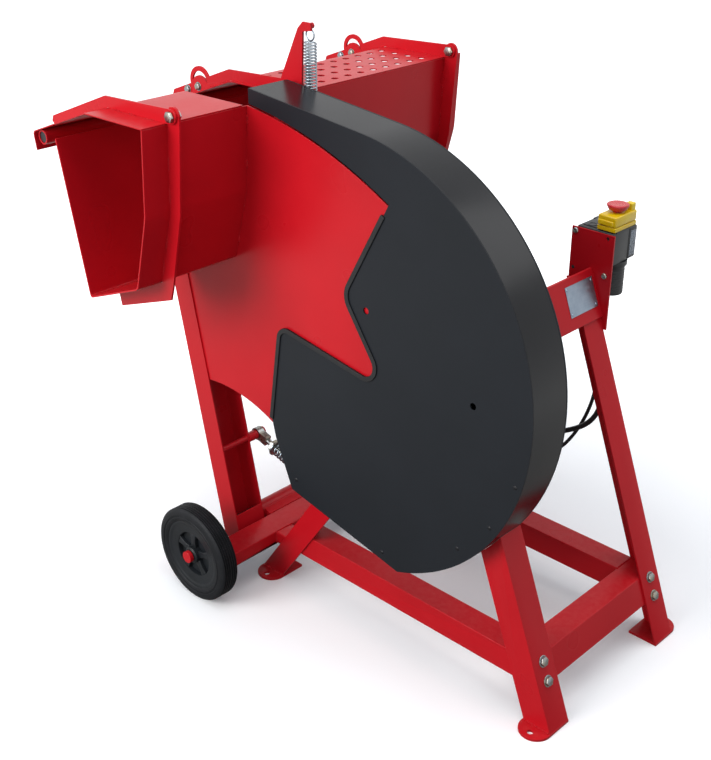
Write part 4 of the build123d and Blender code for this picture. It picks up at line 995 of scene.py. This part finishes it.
class SAW_OT_cradle(bpy.types.Operator):
    """Finishes the trough, its side plates, posts and ribs"""

    bl_idname = "saw.cradle"
    bl_label = "Log cradle"

    def execute(self, context):
        sizes = context.scene.saw_sizes
        for node in ("trough_front", "trough_back"):
            dressed(node, "cradle", "red_enamel", sizes.sheet_edge / MM, sizes.bend / MM)
        for node in ("side_plates", "trough_ribs"):
            dressed(node, "cradle", "red_enamel", sizes.sheet_edge / MM)
        for node in ("post_front", "post_back"):
            dressed(node, "cradle", "red_enamel", sizes.tube_edge / MM)
        keep_node("pivot_shaft", "zinc")
        return {"FINISHED"}


class SAW_OT_cover(bpy.types.Operator):
    """Finishes the hold-down cover, its arms and the handle bar"""

    bl_idname = "saw.cover"
    bl_label = "Hold-down cover"

    def execute(self, context):
        sizes = context.scene.saw_sizes
        dressed("cover_sheets", "cover", "red_enamel", width_mm=0.5, bends_mm=sizes.bend / MM)
        for node in ("cover_arms", "grip_plates", "lever_arm"):
            dressed(node, "cover", "red_enamel", sizes.sheet_edge / MM)
        dressed("handle_bar", "cover", "red_enamel", width_mm=0.6)
        keep_node("handle_caps", "black_plastic")
        return {"FINISHED"}


class SAW_OT_springs(bpy.types.Operator):
    """Winds the cover's pull spring and the cradle's return spring, and finishes the rod"""

    bl_idname = "saw.springs"
    bl_label = "Springs and rod"

    def execute(self, context):
        bm = bmesh.new()
        up, right = Vector((0, 0, 1)), Vector((1, 0, 0))
        coil(bm, PULL_SPRING, up, right, radius=10.0, wire=1.5, pitch=5.1, turns=17)
        for z, axis in zip(PULL_EYES, ((1, 0, 0), (0, 1, 0))):
            wire_eye(bm, (*PULL_SPRING.xy, z), axis, radius=9.4, wire=1.5)
        spring = to_piece("cover_pull_spring", bm, "spring_steel", None, ("cover_spring",))
        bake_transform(spring)

        way = (GUIDE - CLEVIS).normalized()
        seat = CLEVIS + way * CLEVIS_ROOM
        reach = (GUIDE - CLEVIS).length - GUIDE_ROOM - CLEVIS_ROOM
        turns = 17
        bm = bmesh.new()
        coil(bm, seat, way, Vector((0, 1, 0)), radius=12.0, wire=2.0, pitch=reach / turns, turns=turns)
        spring = to_piece("return_push_spring", bm, "spring_steel", "rod", ("return_spring",))
        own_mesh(spring)
        dressed("return_rod", "rod", "zinc", width_mm=0.7)
        return {"FINISHED"}


class SAW_OT_drive(bpy.types.Operator):
    """Finishes the motor, the blade and its arbor"""

    bl_idname = "saw.drive"
    bl_label = "Motor and blade"

    def execute(self, context):
        for node in ("motor_housing", "motor_shields"):
            dressed(node, "frame", "motor_grey", width_mm=0.5)
        dressed("motor_fan_cover", "frame", "black_plastic", width_mm=0.6)
        dressed("terminal_box", "frame", "black_plastic", width_mm=0.7)
        dressed("motor_fan", "blade", "black_plastic", width_mm=0.4)
        for node in ("outer_flange", "arbor_nut"):
            dressed(node, "blade", "blade_steel", width_mm=0.8)
        for node in ("saw_blade", "motor_shaft"):
            keep_node(node, "blade_steel")
        for node in ("motor_stator", "motor_bearings"):
            keep_node(node, "core_steel")
        return {"FINISHED"}


class SAW_OT_switch(bpy.types.Operator):
    """Moulds the switch box, its yellow flap, the buttons and the mains inlet"""

    bl_idname = "saw.switch"
    bl_label = "Switch"

    def execute(self, context):
        bm = bmesh.new()
        left, right, front, back, low, high = BOX
        # A base on the plate, a hood behind it that stands a little proud, and a pad on top
        box(bm, (left + 1.0, front, low), (right - 1.0, HOOD_Y + 1.0, high - 1.5), soften_mm=3.0)
        box(bm, (left, HOOD_Y - 1.0, low + 1.0), (right, back, high), soften_mm=4.0)
        box(bm, (left + 8.0, front + 8.0, high - 3.0), (right - 1.0, back - 4.0, high), soften_mm=1.0)
        for route, diameter in ((THIN_LEAD, THIN_DIAMETER), (THICK_LEAD, THICK_DIAMETER)):
            gland(bm, route[0], (0, 0, -1), diameter / 2)
        plug = ((0.0, 0.2), (6.0, 0.2), (6.4, 0.9), (8.6, 0.9), (9.0, 0.3), (9.0, -0.5), (0.0, -0.5))
        lathe(bm, plug, aim((left + 22.0, front + 18.0, high), (0, 0, 1)), steps=32)
        stopper = ((0.0, 1.4), (2.6, 1.2), (3.4, 0.6), (3.4, -2.0), (5.0, -2.0), (5.0, -3.4), (0.0, -3.4))
        lathe(bm, stopper, aim((HOLES_X[0], SWITCH_Y + 1.2, HOLES_Z[0]), (0, -1, 0)), steps=24)
        to_piece("switch_housing", bm, "black_plastic", "frame", ("switch_box",))

        bm = bmesh.new()
        box(bm, (right - 0.8, HOOD_Y + 3.0, low + 7.0), (right, back - 3.5, high - 7.0), soften_mm=0.3)
        to_piece("switch_side_plate", bm, "grey_plastic", "frame")
        self.stop_cover(high)
        self.inlet()
        return {"FINISHED"}

    def stop_cover(self, box_top):
        """The yellow collar and flap with the red stop, and the start button under them."""
        left, right, front, back, low, high = FLAP
        wall = 4.0
        bm = bmesh.new()
        for x0, x1, y0, y1 in (
            (left, right, front, front + wall),
            (left, right, back - wall, back),
            (left, left + wall, front + wall, back - wall),
            (right - wall, right, front + wall, back - wall),
        ):
            box(bm, (x0, y0, box_top), (x1, y1, box_top + 8.0), soften_mm=1.0)
        to_piece("switch_collar_ring", bm, "yellow_plastic", "frame", ("switch_collar",))

        bm = bmesh.new()
        box(bm, (left, front, low), (right, back, high), soften_mm=3.0)
        tab = (left + 1.5, front - 2.2, low + 1.6), (right - 5.0, front + 2.0, low + 11.1)
        latch = (STOP[0] + 2.0, STOP[1] + 21.5, high - 3.9), (right - 3.0, back - 1.0, high + 13.1)
        box(bm, *tab, soften_mm=1.8)
        box(bm, *latch, soften_mm=2.0)
        to_piece("switch_flap_moulding", bm, "yellow_plastic", "flap", ("switch_flap",))

        bm = bmesh.new()
        profile = [(0.0, 25.2), (14.0, 25.6), (17.8, 26.0), (19.4, 25.3), (20.0, 24.0), (19.6, 22.4)]
        profile += [(17.2, 17.6), (16.0, 15.9), (14.6, 15.5), (9.0, 15.5), (8.0, 14.5), (8.0, 4.0)]
        profile += [(11.0, 4.0), (11.0, 0.0), (0.0, 0.0)]
        lathe(bm, profile, aim(STOP, (0, 0, 1)), steps=48)
        to_piece("stop_mushroom", bm, "red_plastic", "stop", ("stop_button",))
        dressed("start_button", "start", "green_plastic", width_mm=1.2)

    def inlet(self):
        """The ribbed round inlet for the mains cord, with its pins."""
        bm = bmesh.new()
        profile = [(18.0, 0.0), (21.2, 0.0)]
        for i in range(9):
            z = 2.0 + 5.2 * i
            profile += [(22.0, z), (22.0, z + 3.4), (21.2, z + 3.9), (21.2, z + 4.8)]
        profile += [(22.0, 52.0), (25.0, 56.0), (25.0, 65.0), (0.0, 65.0), (0.0, 45.0)]
        profile += [(18.0, 45.0), (18.0, 0.0)]
        lathe(bm, profile, aim(INLET, (0, 0, 1)), steps=48)
        pin = ((0.0, 0.0), (1.8, 0.4), (2.5, 1.6), (2.5, 28.0), (0.0, 28.0))
        ring, recess = 10.0, 17.0
        for i in range(4):
            angle = math.pi / 2 * i
            tip = (INLET[0] + ring * math.cos(angle), INLET[1] + ring * math.sin(angle), INLET[2] + recess)
            lathe(bm, pin, aim(tip, (0, 0, 1)), steps=16)
        to_piece("mains_inlet_moulding", bm, "black_plastic", "frame", ("mains_inlet",))


class SAW_OT_leads(bpy.types.Operator):
    """Hangs the two leads from the switch to the motor"""

    bl_idname = "saw.leads"
    bl_label = "Leads"

    def execute(self, context):
        for name, route, diameter, length in (
            ("lead_thin", THIN_LEAD, THIN_DIAMETER, 0.874),
            ("lead_thick", THICK_LEAD, THICK_DIAMETER, 0.829),
        ):
            curve = bpy.data.curves.new(f"{name}_sheath", "CURVE")
            curve.dimensions = "3D"
            curve.bevel_depth = diameter / 2 * MM
            curve.bevel_resolution = 4
            curve.use_fill_caps = True
            spline = curve.splines.new("NURBS")
            spline.points.add(len(route) - 1)
            for point, place in zip(spline.points, route):
                point.co = (*(v * MM for v in place), 1.0)
            spline.order_u = 3
            spline.use_endpoint_u = True
            spline.resolution_u = 12
            curve.materials.append(finish("lead"))
            lead = bpy.data.objects.new(f"{name}_sheath", curve)
            context.scene.collection.objects.link(lead)
            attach(lead, "frame")
            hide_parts(name)
        return {"FINISHED"}


class SAW_OT_stage(bpy.types.Operator):
    """Sets the floor, the light and the camera"""

    bl_idname = "saw.stage"
    bl_label = "Stage"

    def background_rays(self, tree):
        """One for rays that show the background: camera, glossy and transmission rays."""
        ray = add_node(tree, "ShaderNodeLightPath")
        seen = ray.outputs["Is Camera Ray"]
        for other in ("Is Glossy Ray", "Is Transmission Ray"):
            both = add_node(
                tree, "ShaderNodeMath", {"operation": "MAXIMUM"}, {0: seen, 1: ray.outputs[other]}
            )
            seen = both.outputs[0]
        return seen

    def execute(self, context):
        scene = context.scene
        scene.view_settings.view_transform = "Standard"
        bm = bmesh.new()
        bmesh.ops.create_grid(bm, x_segments=1, y_segments=1, size=9.0)
        mesh = bpy.data.meshes.new("studio_floor")
        bm.to_mesh(mesh)
        bm.free()
        floor = bpy.data.objects.new("studio_floor", mesh)
        scene.collection.objects.link(floor)
        # Sealed pale floor: white to the eye and in reflections, a mid tone in the light that it sends back.
        material, tree, shader, place = new_material("pale_studio_floor")
        seen = self.background_rays(tree)
        eye = add_node(tree, "ShaderNodeLightPath").outputs["Is Camera Ray"]
        add_node(
            tree,
            "ShaderNodeMix",
            {"data_type": "RGBA"},
            {"Factor": eye, 6: linear("#8A8883"), 7: linear("#FBFBFA")},
            {2: shader.inputs["Base Color"]},
        )
        far = add_node(tree, "ShaderNodeVectorMath", {"operation": "LENGTH"}, {0: place})
        glow = add_node(
            tree,
            "ShaderNodeMapRange",
            {},
            {"Value": far.outputs["Value"], "From Min": 0.5, "From Max": 1.9, "To Min": 0.05, "To Max": 0.9},
        )
        add_node(
            tree,
            "ShaderNodeMath",
            {"operation": "MULTIPLY"},
            {0: seen, 1: glow.outputs[0]},
            {0: shader.inputs["Emission Strength"]},
        )
        shader.inputs["Emission Color"].default_value = linear("#FFFFFF")
        shader.inputs["Roughness"].default_value = 0.75
        shader.inputs["Specular IOR Level"].default_value = 0.2
        mesh.materials.append(material)

        world = bpy.data.worlds.new("studio_world")
        scene.world = world
        world.use_nodes = True
        tree = world.node_tree
        background = tree.nodes["Background"]
        seen = self.background_rays(tree)
        add_node(
            tree,
            "ShaderNodeMix",
            {"data_type": "RGBA"},
            {"Factor": seen, 6: linear("#D5E0F0"), 7: linear("#FFFFFF")},
            {2: background.inputs["Color"]},
        )
        add_node(
            tree,
            "ShaderNodeMapRange",
            {},
            {"Value": seen, "To Min": 0.5, "To Max": 1.0},
            {0: background.inputs["Strength"]},
        )

        # Softboxes: place and target in metres, side in metres and power in watts
        for name, place, target, size, power in (
            ("front_softbox", (-1.0, -3.4, 2.0), (-0.15, -0.2, 0.5), 2.2, 125.0),
            ("fill_softbox", (2.4, -3.2, 2.2), (0.0, 0.1, 0.6), 1.8, 22.0),
            ("top_softbox", (0.2, -0.2, 3.6), (-0.1, 0.0, 0.5), 2.6, 60.0),
            ("back_softbox", (1.7, 2.1, 3.0), (0.2, 0.0, 0.8), 2.2, 24.0),
        ):
            lamp = bpy.data.lights.new(name, "AREA")
            lamp.shape = "SQUARE"
            lamp.size = size
            lamp.energy = power
            light = bpy.data.objects.new(name, lamp)
            light.location = place
            aimed = Vector(target) - Vector(place)
            light.rotation_euler = aimed.to_track_quat("-Z", "Y").to_euler()
            scene.collection.objects.link(light)

        lens = bpy.data.cameras.new("photo_camera")
        lens.lens = 58.35
        lens.sensor_width = 36.0
        camera = bpy.data.objects.new("photo_camera", lens)
        camera.location = (1.2363, -1.5811, 1.4908)
        camera.rotation_euler = Vector((-0.6196, 0.6436, -0.4495)).to_track_quat("-Z", "Y").to_euler()
        scene.collection.objects.link(camera)
        scene.camera = camera
        return {"FINISHED"}


class SAW_PT_panel(bpy.types.Panel):
    """Lists the saw's pieces in the sidebar"""

    bl_label = "Firewood saw"
    bl_idname = "SAW_PT_panel"
    bl_space_type = "VIEW_3D"
    bl_region_type = "UI"
    bl_category = "Saw"

    def draw(self, context):
        for group in (context.scene.saw_paints, context.scene.saw_sizes):
            for key in group.__annotations__:
                self.layout.prop(group, key)
        for piece in PIECES:
            self.layout.operator(piece.bl_idname)


PIECES = (
    SAW_OT_stage,
    SAW_OT_leads,
    SAW_OT_base,
    SAW_OT_welds,
    SAW_OT_fasteners,
    SAW_OT_wheels,
    SAW_OT_guard,
    SAW_OT_cradle,
    SAW_OT_cover,
    SAW_OT_springs,
    SAW_OT_drive,
    SAW_OT_switch,
)
CLASSES = (SawPaints, SawSizes, *PIECES, SAW_PT_panel)


def register():
    for made in CLASSES:
        bpy.utils.register_class(made)
    bpy.types.Scene.saw_paints = bpy.props.PointerProperty(type=SawPaints)
    bpy.types.Scene.saw_sizes = bpy.props.PointerProperty(type=SawSizes)


def unregister():
    del bpy.types.Scene.saw_sizes
    del bpy.types.Scene.saw_paints
    for made in reversed(CLASSES):
        bpy.utils.unregister_class(made)


def main():
    register()
    for piece in PIECES:
        family, name = piece.bl_idname.split(".")
        getattr(getattr(bpy.ops, family), name)()


if __name__ == "__main__":
    main()
